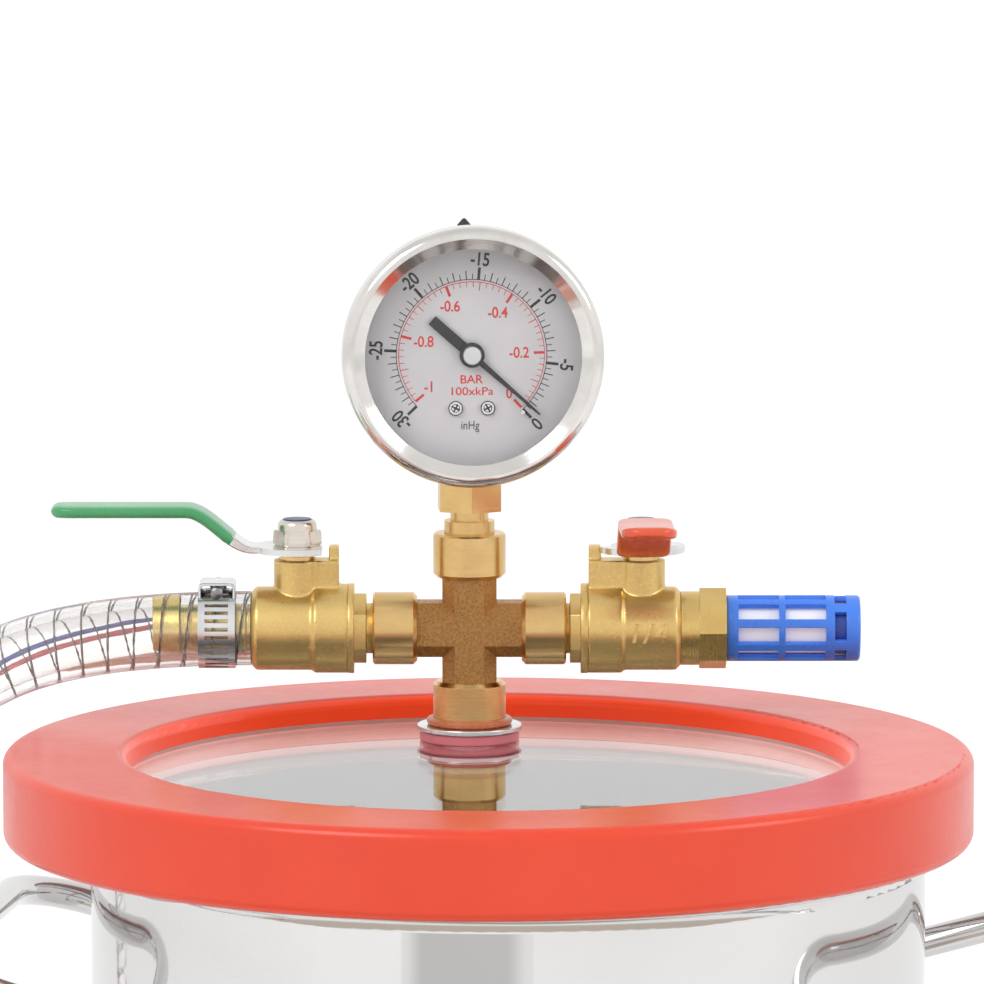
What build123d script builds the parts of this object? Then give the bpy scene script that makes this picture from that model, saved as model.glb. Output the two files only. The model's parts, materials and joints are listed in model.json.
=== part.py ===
"""Vacuum degassing chamber.

A stainless pot with a glass lid. The lid carries a brass cross with a vacuum gauge, two ball
valves, an intake filter and a suction hose.

Frame: origin at the centre of the pot's base, +Z up, front towards -Y. Millimetres.
Pieces of the fitting are drawn about the cross centre and then moved to it. Pieces of the gauge
are drawn face on, with +Z towards the viewer. Pieces of a valve are drawn with the flow along
+X, away from the cross.
"""
from build123d import *
import math
import os

# ------------------------------------------------------------------ driving dimensions

# Pot
pot_bore = 210.0
pot_wall = 1.8
pot_height = 222.0
pot_corner = 12.0  # inside radius between floor and wall
rim_width = 6.7  # reach of the flange past the wall
rim_bend = 4.0  # outside radius under the flange

# Side handles
handle_rod = 8.0
handle_span = 107.0  # leg centre to leg centre
handle_reach = 141.0  # pot axis to bar centre
handle_bend = 20.0
handle_rise = 16.0  # degrees
handle_drop = 36.0  # rim to the leg at the wall
handle_turn = -8.0  # degrees, seen from above

# Lid
lid_shift = -5.0  # lid centre along X, as it happens to lie on the rim
glass_thickness = 10.0
gasket_opening = 184.4
gasket_outside = 248.0
gasket_wall = 6.0  # silicone outside the edge of the glass
gasket_lip = 6.2  # silicone over the glass
gasket_foot = 6.5  # silicone under the glass
gasket_round = 2.9
lid_play = 0.1

# Fitting axis, where the nipple passes the glass
fit_x = -10.0
fit_y = 54.0
glass_hole = 14.2

# Thread of every pipe joint, drawn plain
thread_d = 13.2
thread_play = 0.05
thread_reach = 9.5  # how deep a male end goes into its port
port_depth = 11.0
flow_d = 8.0

# Nipple stack
nipple_bore = 7.0
soft_gasket_d = 26.2
soft_gasket = 2.8
washer_d = 27.5
washer = 1.4
o_ring_d = 22.4
o_ring = 1.9
lock_nut_flats = 19.0
lock_nut_h = 6.0
nipple_tail = 2.0

# Cross
cross_arm = 25.3
collar_d = 19.0
collar_start = 13.7
collar_bevel = 1.0
arm_square = 14.2
arm_flat = 7.6

# Gauge
gauge_rise = 73.1  # cross centre to dial centre
gauge_turn = 4.0  # degrees about the stem
stem_flats = 16.0
stem_neck_d = 10.0
stem_thread_shown = 3.3
stem_neck = 2.7
case_r = 31.5
case_wall = 0.8
case_back = -11.0
case_front = 12.0
case_round = 3.0
bezel_r = 34.0
bezel_crest_r = 31.05
bezel_opening_r = 28.2
bezel_sheet = 0.7
bezel_skirt = 2.4  # how far the bezel reaches back over the flange
bezel_height = 2.7  # crest above the lens
seal_thickness = 1.2
lens_thickness = 2.6
dial_r = 29.8
dial_back = 7.5
dial_thickness = 0.8
dial_screw_x = 4.2
dial_screw_y = -14.0
dial_screw_head = 3.8
stop_pin_d = 1.0
stop_pin_r = 20.0
stop_pin_angle = -48.5
pointer_rest = -41.5  # degrees above the horizontal, to the right
pointer_tip = 23.7
pointer_tail = 13.8
pointer_tail_w = 2.8
pointer_neck_w = 1.7
pointer_point_w = 0.5
pointer_thickness = 0.5
pointer_gap = 1.1  # dial face to pointer
hub_d = 6.5
hub_cap_d = 5.1
plug_hole = 8.0
plug_head_d = 11.0
plug_head_h = 2.6
plug_forward = 2.5

# Gauge movement
gear_module = 0.3
pinion_teeth = 14
sector_ring_teeth = 84
sector_teeth = 13  # teeth cut on the sector
gear_thickness = 0.9
gear_backlash = 0.07
plate_thickness = 1.0
plate_width = 17.0
shaft_d = 1.2
shaft_play = 0.05
bourdon_r = 23.0
bourdon_radial = 2.6
bourdon_axial = 7.0
bourdon_wall = 0.4
bourdon_root = -70.0
bourdon_arc = 268.0
block_w = 14.0
block_top = -11.0
block_back = -6.0
block_front = 2.0

# Ball valves
stem_from_cross = 45.05
body_d = 21.9
shoulder_d = 23.4
rim_d = 23.6
ball_d = 15.0
ball_play = 0.12
cavity_d = 16.6
seat_gap = 8.45  # ball centre to the back of a seat
boss_d = 12.3
boss_top = 18.3
stem_d = 6.0
stem_play = 0.05
packing_d = 9.4
packing_depth = 5.0
packing_proud = 1.0
tang_w = 2.6
tang_l = 7.0
tang_depth = 2.6
post_near = 8.3  # stop post, from the stem axis
post_thickness = 2.6
post_width = 5.0
post_top = 21.9

# Levers
lever_sheet = 1.6
lever_gap = 0.1
lever_w = 11.0
lever_length = 64.6
lever_knee = 10.0
lever_lift = 10.6
lever_slope = 32.0
lever_ear_r = 11.4
lever_back = 6.5
grip_start = 17.5
grip_w = 14.0
grip_thickness = 4.2
nut_flats = 11.0
nut_hex_h = 5.0
nut_collar_d = 10.0
nut_h = 7.7
stem_above_nut = 0.4

# Ends of the valves
left_hex_start = 27.0
left_hex_end = 30.2
left_rim_end = 32.0
left_step = 40.9
left_end = 57.1
right_hex_start = 26.3
right_hex_end = 29.1
right_rim_end = 31.2
right_step = 40.2
right_end = 55.3
neck_flats = 16.0
octagon_flats = 19.7
octagon_start = 60.2
octagon_end = 67.2
octagon_neck_d = 19.3

# Intake filter
filter_d = 17.3
filter_gap = 0.2
filter_length = 34.8
filter_wall = 2.2
filter_window = 10.6
filter_window_count = 10
filter_window_share = 0.72
filter_first_row = 2.9
filter_rib = 1.7
filter_slot = 3.0
filter_slot_count = 5
filter_slot_start = 28.1
filter_thread_d = 12.6

# Hose, its barb and the worm-drive clip
hose_od = 19.5
hose_id = 13.0
barb_d = 12.9
barb_root_d = 11.8
barb_length = 25.7
barb_count = 3
clamp_start = 61.2
clamp_width = 9.7
clamp_sheet = 0.7
clamp_play = 0.05
clamp_slot = 6.1
clamp_slot_w = 1.0
clamp_slot_count = 30
housing_h = 5.5
housing_length = 12.0
worm_d = 5.0
worm_head_flats = 7.0
worm_head = 3.6

# Hose route: corners of its centre line, chosen by hand
hose_route = [
    (-67.2, 54.0, 268.0),
    (-113.0, 54.0, 268.0),
    (-154.0, 55.0, 251.0),
    (-185.5, 54.6, 219.5),
    (-203.0, 53.6, 178.0),
    (-204.5, 52.8, 103.0),
    (-222.0, 52.4, 60.0),
    (-254.0, 52.8, 27.5),
    (-296.0, 54.0, 9.75),
    (-342.0, 54.0, 9.75),
]
coil_half_turns = [117.0, 106.5, 106.5]  # centre-line radii of the half turns
coil_rise = 25.0  # height of the last half turn over the one below it
coil_rise_end = 105.0  # degrees round the last half turn at which it has risen
coil_rise_ease = 15.0

# Pump fitting on the far end
pump_hex_flats = 21.0
pump_hex = 9.0
pump_thread_length = 12.0

# ------------------------------------------------------------------ derived places

pot_outer_r = pot_bore / 2 + pot_wall
rim_r = pot_outer_r + rim_width
glass_bottom = pot_height + gasket_foot
glass_top = glass_bottom + glass_thickness
gasket_height = gasket_foot + glass_thickness + gasket_lip
glass_r = gasket_outside / 2 - gasket_wall
stack_top = glass_top + soft_gasket + washer
fit_z = stack_top + cross_arm
nipple_bottom = glass_bottom - soft_gasket - washer - lock_nut_h - nipple_tail

port_d = thread_d + 2 * thread_play
flange_front = case_front
lens_back = flange_front + seal_thickness
lens_front = lens_back + lens_thickness
crest_front = lens_front + bezel_height
flange_r = bezel_r - bezel_sheet
dial_front = dial_back + dial_thickness
pointer_back = dial_front + pointer_gap
hub_front = pointer_back + 1.2
front_plate_front = dial_back - 0.5
front_plate_back = front_plate_front - plate_thickness
back_plate_back = block_front
back_plate_front = back_plate_back + plate_thickness
pinion_r = gear_module * pinion_teeth / 2
sector_r = gear_module * sector_ring_teeth / 2
sector_pivot_y = -(pinion_r + sector_r)
gear_back = back_plate_front + 1.2
tail_length = 6.5

lever_bottom = boss_top + packing_proud + lever_gap
lever_top = lever_bottom + lever_sheet
slope_run = lever_lift / math.tan(math.radians(lever_slope))
end_seat = stem_from_cross + seat_gap
hose_start = left_end + 0.1
filter_start = octagon_end + filter_gap


# ------------------------------------------------------------------ shared shapes


def rod(diameter, low, high):
    """Round bar on the Z axis between two heights."""
    return Pos(0, 0, low) * Cylinder(
        diameter / 2, high - low, align=(Align.CENTER, Align.CENTER, Align.MIN)
    )


def ring(outside, inside, low, high):
    """Plain ring on the Z axis."""
    return rod(outside, low, high) - rod(inside, low - 1, high + 1)


def prism(flats, sides, low, high, first_corner=0.0):
    """Regular prism on the Z axis, given by its distance across flats."""
    outline = RegularPolygon(flats / 2, sides, major_radius=False, rotation=first_corner)
    return Pos(0, 0, low) * extrude(outline, high - low)


def turned(*points, corners=(), arc=360):
    """Solid of revolution about Z from half its section, as (radius, height) points.

    corners holds ((radius, height), fillet radius) pairs.
    """
    section = Polygon(*points, align=None)
    for (r, z), size in corners:
        nearest = min(section.vertices(), key=lambda v: math.hypot(v.X - r, v.Y - z))
        section = fillet(nearest, size)
    return revolve(Plane.XZ * section, Axis.Z, revolution_arc=arc)


def along_x(solid):
    """Turns a piece drawn on +Z so that it lies on +X."""
    return Rot(0, 90, 0) * solid


def at_fitting(solid):
    """Moves a piece drawn about the cross centre to its place."""
    return Pos(fit_x, fit_y, fit_z) * solid


def at_stack(solid):
    """Moves a piece drawn at its own height to the fitting axis."""
    return Pos(fit_x, fit_y, 0) * solid


def at_gauge(solid):
    """Moves a piece drawn face on to the dial centre."""
    return at_fitting(Pos(0, 0, gauge_rise) * Rot(0, 0, gauge_turn) * Rot(90, 0, 0) * solid)


def on_left(solid):
    """Moves a valve piece to the left arm: the same valve, turned half round."""
    return at_fitting(Rot(0, 0, 180) * solid)


def on_right(solid):
    return at_fitting(solid)


# ------------------------------------------------------------------ pot and handles


def pot_body():
    inner_r = pot_bore / 2
    below = pot_height - pot_wall
    return turned(
        (0, 0), (pot_outer_r, 0), (pot_outer_r, below), (rim_r, below),
        (rim_r, pot_height), (inner_r, pot_height), (inner_r, pot_wall), (0, pot_wall),
        corners=[
            ((pot_outer_r, 0), pot_corner + pot_wall),
            ((inner_r, pot_wall), pot_corner),
            ((pot_outer_r, below), rim_bend),
            ((inner_r, pot_height), rim_bend + pot_wall),
            ((rim_r, pot_height), pot_wall * 0.45),
            ((rim_r, below), pot_wall * 0.45),
        ],
    )


def handle(direction):
    """Round rod bent to a loop, its ends saddled onto the wall."""
    half = handle_span / 2
    seat_x = math.sqrt(pot_outer_r**2 - half**2)
    run = (handle_reach - seat_x) / math.cos(math.radians(handle_rise))
    inside = handle_rod + pot_wall
    path = FilletPolyline(
        (-inside, -half), (run, -half), (run, half), (-inside, half), radius=handle_bend
    )
    loop = sweep(Plane(origin=path @ 0, z_dir=path % 0) * Circle(handle_rod / 2), path)
    loop = Pos(seat_x, 0, pot_height - handle_drop) * Rot(0, -handle_rise, 0) * loop
    return Rot(0, 0, direction) * (loop - rod(2 * pot_outer_r, 0, pot_height))


# ------------------------------------------------------------------ lid


def lid_gasket():
    inner = gasket_opening / 2
    outer = gasket_outside / 2
    slot = glass_r + lid_play
    shelf = gasket_foot + glass_thickness
    channel = turned(
        (inner, 0), (outer, 0), (outer, gasket_height), (inner, gasket_height),
        (inner, shelf), (slot, shelf), (slot, gasket_foot), (inner, gasket_foot),
        corners=[
            ((outer, 0), gasket_round),
            ((outer, gasket_height), gasket_round),
            ((inner, gasket_height), gasket_round),
            ((inner, 0), gasket_round / 2),
        ],
    )
    return Pos(lid_shift, 0, pot_height) * channel


def lid_glass():
    disc = rod(2 * glass_r, glass_bottom, glass_top)
    disc = chamfer(disc.edges(), 0.6)
    return Pos(lid_shift, 0, 0) * disc - at_stack(rod(glass_hole, glass_bottom - 1, glass_top + 1))


def stack_ring(diameter, low, high, edge):
    """Washer or gasket on the nipple, with its outer edges eased."""
    inner = thread_d / 2 + thread_play
    outer = diameter / 2
    return at_stack(
        turned(
            (inner, low), (outer, low), (outer, high), (inner, high),
            corners=[((outer, low), edge), ((outer, high), edge)],
        )
    )


def o_ring_seal():
    """O-ring pressed round the end of the cross's collar."""
    inner = collar_d / 2 + thread_play
    outer = o_ring_d / 2
    edge = min(outer - inner, o_ring / 2) * 0.9
    return at_stack(
        turned(
            (inner, stack_top), (outer, stack_top), (outer, stack_top + o_ring),
            (inner, stack_top + o_ring),
            corners=[((outer, stack_top), edge), ((outer, stack_top + o_ring), edge)],
        )
    )


def lid_nipple():
    top = stack_top + thread_reach
    return at_stack(ring(thread_d, nipple_bore, nipple_bottom, top))


def lock_nut():
    top = glass_bottom - soft_gasket - washer
    nut = prism(lock_nut_flats, 6, top - lock_nut_h, top) & turned(
        (0, top - lock_nut_h), (lock_nut_flats / 2, top - lock_nut_h),
        (lock_nut_flats / 2 + 2, top - lock_nut_h + 1.2), (lock_nut_flats / 2 + 2, top), (0, top),
    )
    return at_stack(nut - rod(port_d, top - lock_nut_h - 1, top + 1))


# ------------------------------------------------------------------ cross


def cross_fitting():
    """Forged four-way cross: octagonal arms, turned collars and four tapped ports."""
    bevel = (arm_square - arm_flat) / 2
    section = Rectangle(arm_square, arm_square)
    section = chamfer(section.vertices(), bevel)
    upright = Pos(0, 0, -cross_arm + 1) * extrude(section, 2 * cross_arm - 2)
    collar_r = collar_d / 2
    collar = turned(
        (0, collar_start), (collar_r - collar_bevel, collar_start),
        (collar_r, collar_start + collar_bevel), (collar_r, cross_arm - 0.5),
        (collar_r - 0.5, cross_arm), (0, cross_arm),
    )
    body = upright + along_x(upright)
    bores = rod(port_d, cross_arm - port_depth, cross_arm + 1) + rod(flow_d, 0, cross_arm)
    arms = [Rot(0, angle, 0) for angle in (0, 90, 180, 270)]
    for arm in arms:
        body += arm * collar
    for arm in arms:
        body -= arm * bores
    return at_fitting(body)


# ------------------------------------------------------------------ gauge


def gauge_stem():
    """Brass connection: pipe thread, neck, hexagon, and the block that holds the tube."""
    hex_low = cross_arm + stem_thread_shown + stem_neck
    case_low = gauge_rise - case_r
    inside_low = case_low + case_wall
    stem = rod(thread_d, cross_arm - thread_reach, cross_arm + stem_thread_shown)
    stem += rod(stem_neck_d, cross_arm + stem_thread_shown, hex_low)
    stem += prism(stem_flats, 6, hex_low, case_low + 2, first_corner=30)
    stem -= Pos(0, 0, gauge_rise) * Rot(90, 0, 0) * rod(2 * case_r, case_back, case_front)
    stem += rod(stem_flats * 0.75, case_low - 1, inside_low + 2)
    block_low = gauge_rise - math.sqrt((case_r - case_wall) ** 2 - (block_w / 2) ** 2) + 0.3
    stem += Pos(0, -(block_front + block_back) / 2, block_low) * Box(
        block_w, block_front - block_back, gauge_rise + block_top - block_low,
        align=(Align.CENTER, Align.CENTER, Align.MIN),
    )
    stem -= rod(3.0, 0, gauge_rise - bourdon_r)
    turned_stem = at_fitting(Rot(0, 0, gauge_turn) * stem)
    return turned_stem - at_gauge(bourdon_shape(0))


def gauge_case():
    """Drawn cup with a turned-out flange, a stem hole below and a plug hole on top."""
    inner = case_r - case_wall
    cup = turned(
        (0, case_back), (case_r, case_back), (case_r, flange_front - case_wall),
        (flange_r - 0.1, flange_front - case_wall), (flange_r - 0.1, flange_front),
        (inner, flange_front), (inner, case_back + case_wall), (0, case_back + case_wall),
        corners=[
            ((case_r, case_back), case_round + case_wall),
            ((inner, case_back + case_wall), case_round),
        ],
    )
    stem_hole = Pos(0, -case_r + 2, 0) * Rot(90, 0, 0) * rod(stem_flats * 0.75 + 0.1, 0, 8)
    top_hole = Pos(0, case_r - 2, plug_forward) * Rot(-90, 0, 0) * rod(plug_hole + 0.1, 0, 8)
    return at_gauge(cup - stem_hole - top_hole)


def gauge_bezel():
    """Rolled ring: rounded outer band, conical inner band, skirt closed behind the flange."""
    inner = bezel_r - bezel_sheet
    tail = flange_front - bezel_skirt
    return at_gauge(
        turned(
            (case_r + 0.15, tail), (bezel_r, tail), (bezel_r, crest_front),
            (bezel_crest_r, crest_front), (bezel_opening_r, lens_front + 0.5),
            (bezel_opening_r, lens_front), (inner, lens_front),
            (inner, flange_front - case_wall), (case_r + 0.15, flange_front - case_wall),
            corners=[((bezel_r, crest_front), (bezel_r - bezel_crest_r) * 0.9), ((bezel_r, tail), 0.6)],
        )
    )


def gauge_lens_seal():
    return at_gauge(ring(2 * flange_r - 0.2, 2 * dial_r - 1, flange_front, lens_back))


def gauge_lens():
    return at_gauge(rod(2 * flange_r - 0.2, lens_back, lens_front))


def gauge_dial():
    disc = rod(2 * dial_r, dial_back, dial_front) - rod(3.0, dial_back - 1, dial_front + 1)
    for side in (-1, 1):
        disc -= Pos(side * dial_screw_x, dial_screw_y, 0) * rod(2.1, dial_back - 1, dial_front + 1)
    pin = math.radians(stop_pin_angle)
    disc -= Pos(stop_pin_r * math.cos(pin), stop_pin_r * math.sin(pin), 0) * rod(
        stop_pin_d, dial_back - 1, dial_front + 1
    )
    return at_gauge(disc)


def gauge_dial_screws():
    """Two cheese-head screws that hold the dial to the front plate."""
    screws = []
    for side in (-1, 1):
        screw = rod(2.0, front_plate_back, dial_front) + rod(
            dial_screw_head, dial_front, dial_front + 0.7
        )
        screw -= Pos(0, 0, dial_front + 0.6) * Box(dial_screw_head + 1, 0.6, 0.5)
        screws.append(Pos(side * dial_screw_x, dial_screw_y, 0) * screw)
    return at_gauge(Compound(children=screws))


def gauge_stop_pin():
    pin = math.radians(stop_pin_angle)
    return at_gauge(
        Pos(stop_pin_r * math.cos(pin), stop_pin_r * math.sin(pin), 0)
        * rod(stop_pin_d, dial_back, pointer_back + pointer_thickness + 0.5)
    )


def gauge_vent_plug():
    """Rubber plug in the top of the case, with a tapered head."""
    top = case_r + plug_head_h
    stem_low = case_r - case_wall - 2.5
    plug = turned(
        (0, stem_low), (plug_hole / 2, stem_low), (plug_hole / 2, case_r),
        (plug_head_d / 2, case_r), (plug_head_d / 2, case_r + 0.8),
        (plug_hole / 3, top), (0, top),
        corners=[((plug_hole / 3, top), 0.8)],
    )
    return at_gauge(Pos(0, 0, plug_forward) * Rot(-90, 0, 0) * plug)


def gauge_pointer():
    """Flat black pointer with a straight tail and a round hub."""
    blade = Polygon(
        (-pointer_tail, -pointer_tail_w / 2), (0, -pointer_tail_w / 2), (0, -pointer_neck_w / 2),
        (pointer_tip, -pointer_point_w / 2), (pointer_tip, pointer_point_w / 2),
        (0, pointer_neck_w / 2), (0, pointer_tail_w / 2), (-pointer_tail, pointer_tail_w / 2),
        align=None,
    )
    front = pointer_back + pointer_thickness
    pointer = Pos(0, 0, pointer_back) * extrude(blade, pointer_thickness)
    pointer += rod(hub_d, pointer_back, hub_front)
    pointer -= rod(shaft_d, pointer_back - 1, hub_front + 1)
    return at_gauge(Rot(0, 0, pointer_rest) * pointer)


def gear_outline(teeth, cut, backlash):
    """Outline of an involute gear with `teeth` on its full circle and `cut` of them cut.

    The first tooth is centred on +X and the rest go round towards +Y. Where teeth are left out
    the outline stays on the root circle.
    """
    pitch = gear_module * teeth / 2
    base = pitch * math.cos(math.radians(20))
    tip = pitch + 0.8 * gear_module
    root = pitch - 1.1 * gear_module
    half = (math.pi * gear_module / 2 - backlash) / 2 / pitch

    def involute(r):
        turn = math.acos(min(1.0, base / r))
        return math.tan(turn) - turn

    flank = [max(base, root) + (tip - max(base, root)) * step / 3 for step in range(4)]
    points = []
    for number in range(cut):
        middle = 2 * math.pi * number / teeth
        angles = [half + involute(pitch) - involute(r) for r in flank]
        side = [(root, angles[0])] + list(zip(flank, angles))
        points += [(r, middle - a) for r, a in side]
        points += [(r, middle + a) for r, a in reversed(side)]
    return [(r * math.cos(a), r * math.sin(a)) for r, a in points]


def gauge_pointer_shaft():
    """Shaft with its pinion cut in one piece, and the cap that shows in the hub."""
    shaft = rod(shaft_d, back_plate_back + 0.2, hub_front)
    pinion = Polygon(*gear_outline(pinion_teeth, pinion_teeth, gear_backlash), align=None)
    half_tooth = 180 / pinion_teeth
    shaft += Pos(0, 0, gear_back) * Rot(0, 0, 90 + half_tooth) * extrude(pinion, gear_thickness)
    shaft += turned(
        (0, hub_front), (hub_cap_d / 2, hub_front), (hub_cap_d / 2, hub_front + 0.4),
        (hub_cap_d / 2 - 0.3, hub_front + 0.7), (0, hub_front + 0.7),
    )
    return at_gauge(shaft)


def gauge_sector_gear():
    """Toothed sector on its arbor, with a tail that the link pulls."""
    step = 360 / sector_ring_teeth
    teeth = gear_outline(sector_ring_teeth, sector_teeth, gear_backlash)
    hub_r = 2.2
    blank = Polygon((0, 0), *teeth, align=None)
    sector = extrude(blank, gear_thickness)
    sector += rod(2 * hub_r, 0, gear_thickness)
    first = 90 - 2 * step
    sector = Rot(0, 0, first) * sector
    sector += Pos(-tail_length / 2, 0, gear_thickness / 2) * Box(tail_length, 2.2, gear_thickness)
    sector += Pos(-tail_length, 0, 0) * rod(2.2, 0, gear_thickness)
    sector -= Pos(-tail_length, 0, 0) * rod(1.0, -1, gear_thickness + 1)
    sector += rod(shaft_d, back_plate_back + 0.2 - gear_back, front_plate_front - 0.1 - gear_back)
    return at_gauge(Pos(0, sector_pivot_y, gear_back) * sector)


def bourdon_tip():
    angle = math.radians(bourdon_root + bourdon_arc)
    return bourdon_r * math.cos(angle), bourdon_r * math.sin(angle)


def gauge_link():
    """Flat link from the sector's tail to the tip of the Bourdon tube."""
    tip_x, tip_y = bourdon_tip()
    start_x, start_y = -tail_length, sector_pivot_y
    length = math.hypot(tip_x - start_x, tip_y - start_y)
    angle = math.degrees(math.atan2(tip_y - start_y, tip_x - start_x))
    thickness = 0.5
    link = Pos(length / 2, 0, thickness / 2) * Box(length, 1.4, thickness)
    link += rod(2.2, 0, thickness) + Pos(length, 0, 0) * rod(2.2, 0, thickness)
    link += rod(0.85, 0, thickness + 0.15 + gear_thickness)
    link_back = gear_back - thickness - 0.15
    return at_gauge(Pos(start_x, start_y, link_back) * Rot(0, 0, angle) * link)


def movement_pillars():
    return [(-4.0, -20.0), (4.0, -20.0), (-6.5, 4.5), (6.5, 4.5)]


def plate_outline(thickness):
    high = movement_pillars()[2][1] + 2.0
    low = movement_pillars()[0][1] - 2.0
    plate = Pos(0, (high + low) / 2, thickness / 2) * Box(plate_width, high - low, thickness)
    plate = fillet(plate.edges().filter_by(Axis.Z), 1.5)
    hole = shaft_d + 2 * shaft_play
    return plate - rod(hole, -1, 2) - Pos(0, sector_pivot_y, 0) * rod(hole, -1, 2)


def gauge_back_plate():
    """Back plate of the movement with its four pillars riveted in."""
    plate = plate_outline(plate_thickness)
    for x, y in movement_pillars():
        plate += Pos(x, y, 0) * rod(2.0, 0, front_plate_back - back_plate_back)
    return at_gauge(Pos(0, 0, back_plate_back) * plate)


def gauge_front_plate():
    """Front plate with the two posts that the dial is screwed to."""
    plate = plate_outline(plate_thickness)
    for side in (-1, 1):
        post = rod(3.0, plate_thickness, dial_back - front_plate_back)
        plate += Pos(side * dial_screw_x, dial_screw_y, 0) * post
        plate -= Pos(side * dial_screw_x, dial_screw_y, 0) * rod(2.05, -1, 5)
    return at_gauge(Pos(0, 0, front_plate_back) * plate)


def bourdon_shape(wall):
    """C-shaped flattened tube, face on. wall=0 gives it solid, as the slot it is brazed into."""
    middle = (block_back + block_front) / 2 - 0.3
    section = Pos(bourdon_r, middle) * RectangleRounded(
        bourdon_radial, bourdon_axial, bourdon_radial * 0.42
    )
    if wall:
        section -= Pos(bourdon_r, middle) * RectangleRounded(
            bourdon_radial - 2 * wall, bourdon_axial - 2 * wall, bourdon_radial * 0.42 - wall
        )
    return Rot(0, 0, bourdon_root) * revolve(
        Plane.XZ * section, Axis.Z, revolution_arc=bourdon_arc
    )


def gauge_bourdon_tube():
    """Bronze tube closed at its tip, with the lug that faces the link."""
    tip_x, tip_y = bourdon_tip()
    middle = (block_back + block_front) / 2 - 0.3
    tube = bourdon_shape(bourdon_wall)
    tip_angle = bourdon_root + bourdon_arc
    cap = Rot(0, 0, tip_angle) * (
        Pos(bourdon_r, 0.75, middle) * Box(bourdon_radial, 1.5, bourdon_axial)
    )
    lug_front = gear_back - 0.5 - 0.15 - 0.3
    lug = Pos(0, 0, middle) * rod(1.8, 0, lug_front - middle)
    return at_gauge(tube + cap + Pos(tip_x, tip_y, 0) * Rot(0, 0, tip_angle) * Pos(0, 0.75, 0) * lug)


# ------------------------------------------------------------------ ball valves


def valve_barrel(hex_start, hex_end, rim_end, step, end):
    """Forged body: male thread, hexagon, rim, stepped barrel, stem boss and stop post."""
    chamfer_end = 1.3
    body = rod(thread_d, cross_arm - thread_reach, hex_start)
    body += prism(neck_flats, 6, hex_start, hex_end)
    body += rod(rim_d, hex_end, rim_end)
    body += turned(
        (0, rim_end), (shoulder_d / 2, rim_end), (shoulder_d / 2, step - 0.4),
        (body_d / 2, step + 0.4), (body_d / 2, end - chamfer_end),
        (body_d / 2 - chamfer_end, end), (0, end),
    )
    body = along_x(body)
    body += Pos(stem_from_cross, 0, 0) * rod(boss_d, 0, boss_top)
    post_far = stem_from_cross - post_near - post_thickness
    block_w = post_width + 3.0
    body += Pos(post_far - 1.5, -block_w / 2, 0) * Box(
        post_near + post_thickness, block_w, boss_top, align=Align.MIN
    )
    body += Pos(post_far, -post_width / 2, 0) * Box(
        post_thickness, post_width, post_top, align=Align.MIN
    )
    inside = rod(flow_d, 0, end + 1)
    inside += rod(cavity_d, stem_from_cross - seat_gap, end_seat)
    inside += rod(port_thread_d(), end_seat, end + 1)
    body -= along_x(inside)
    stem_hole = rod(stem_d + 2 * stem_play, 0, boss_top + 1)
    stem_hole += rod(packing_d + 0.04, boss_top - packing_depth, boss_top + 1)
    stem_hole += rod(stem_d + 2.4, 0, cavity_d / 2 + 1.5)
    return body - Pos(stem_from_cross, 0, 0) * stem_hole


def port_thread_d():
    """Thread that holds a valve's screwed end."""
    return cavity_d + 0.6


def valve_seats():
    """Two ring seats of PTFE, hollowed to the ball."""
    inner = stem_from_cross - seat_gap
    lip = 4.3
    both = ring(cavity_d - 0.1, flow_d + 0.6, inner, inner + lip)
    both += ring(cavity_d - 0.1, flow_d + 0.6, end_seat - lip, end_seat)
    ball = Pos(0, 0, stem_from_cross) * Sphere(ball_d / 2 + ball_play)
    return along_x(both - ball)


def valve_ball(turn):
    """Bored ball with the slot for the stem's tang. turn is the lever's angle from open."""
    ball = Sphere(ball_d / 2) - along_x(rod(flow_d, -ball_d, ball_d))
    slot_low = ball_d / 2 - tang_depth
    slot = Pos(0, 0, slot_low) * Box(
        tang_w + 0.1, ball_d, ball_d, align=(Align.CENTER, Align.CENTER, Align.MIN)
    )
    return Pos(stem_from_cross, 0, 0) * Rot(0, 0, turn) * (ball - slot)


def valve_stem(turn):
    """Stem: tang, blow-out shoulder, round shank and the flatted, threaded top."""
    low = ball_d / 2 - tang_depth
    shoulder_low = cavity_d / 2 - 0.1
    shoulder_high = cavity_d / 2 + 1.4
    top = lever_top + nut_h + stem_above_nut
    stem = Pos(0, 0, low) * Box(
        tang_w, tang_l, shoulder_low - low, align=(Align.CENTER, Align.CENTER, Align.MIN)
    )
    stem += rod(stem_d + 2.2, shoulder_low, shoulder_high)
    stem += rod(stem_d, shoulder_high, lever_bottom)
    flats = Pos(0, 0, lever_bottom) * Box(
        stem_d, stem_d - 1.4, lever_sheet, align=(Align.CENTER, Align.CENTER, Align.MIN)
    )
    stem += flats & rod(stem_d, lever_bottom, lever_top)
    stem += rod(stem_d - 1.4, lever_top, top)
    return Pos(stem_from_cross, 0, 0) * Rot(0, 0, turn) * stem


def valve_packing():
    low = boss_top - packing_depth
    collar = ring(packing_d, stem_d + 2 * stem_play, low, boss_top + packing_proud)
    return Pos(stem_from_cross, 0, 0) * collar


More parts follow.
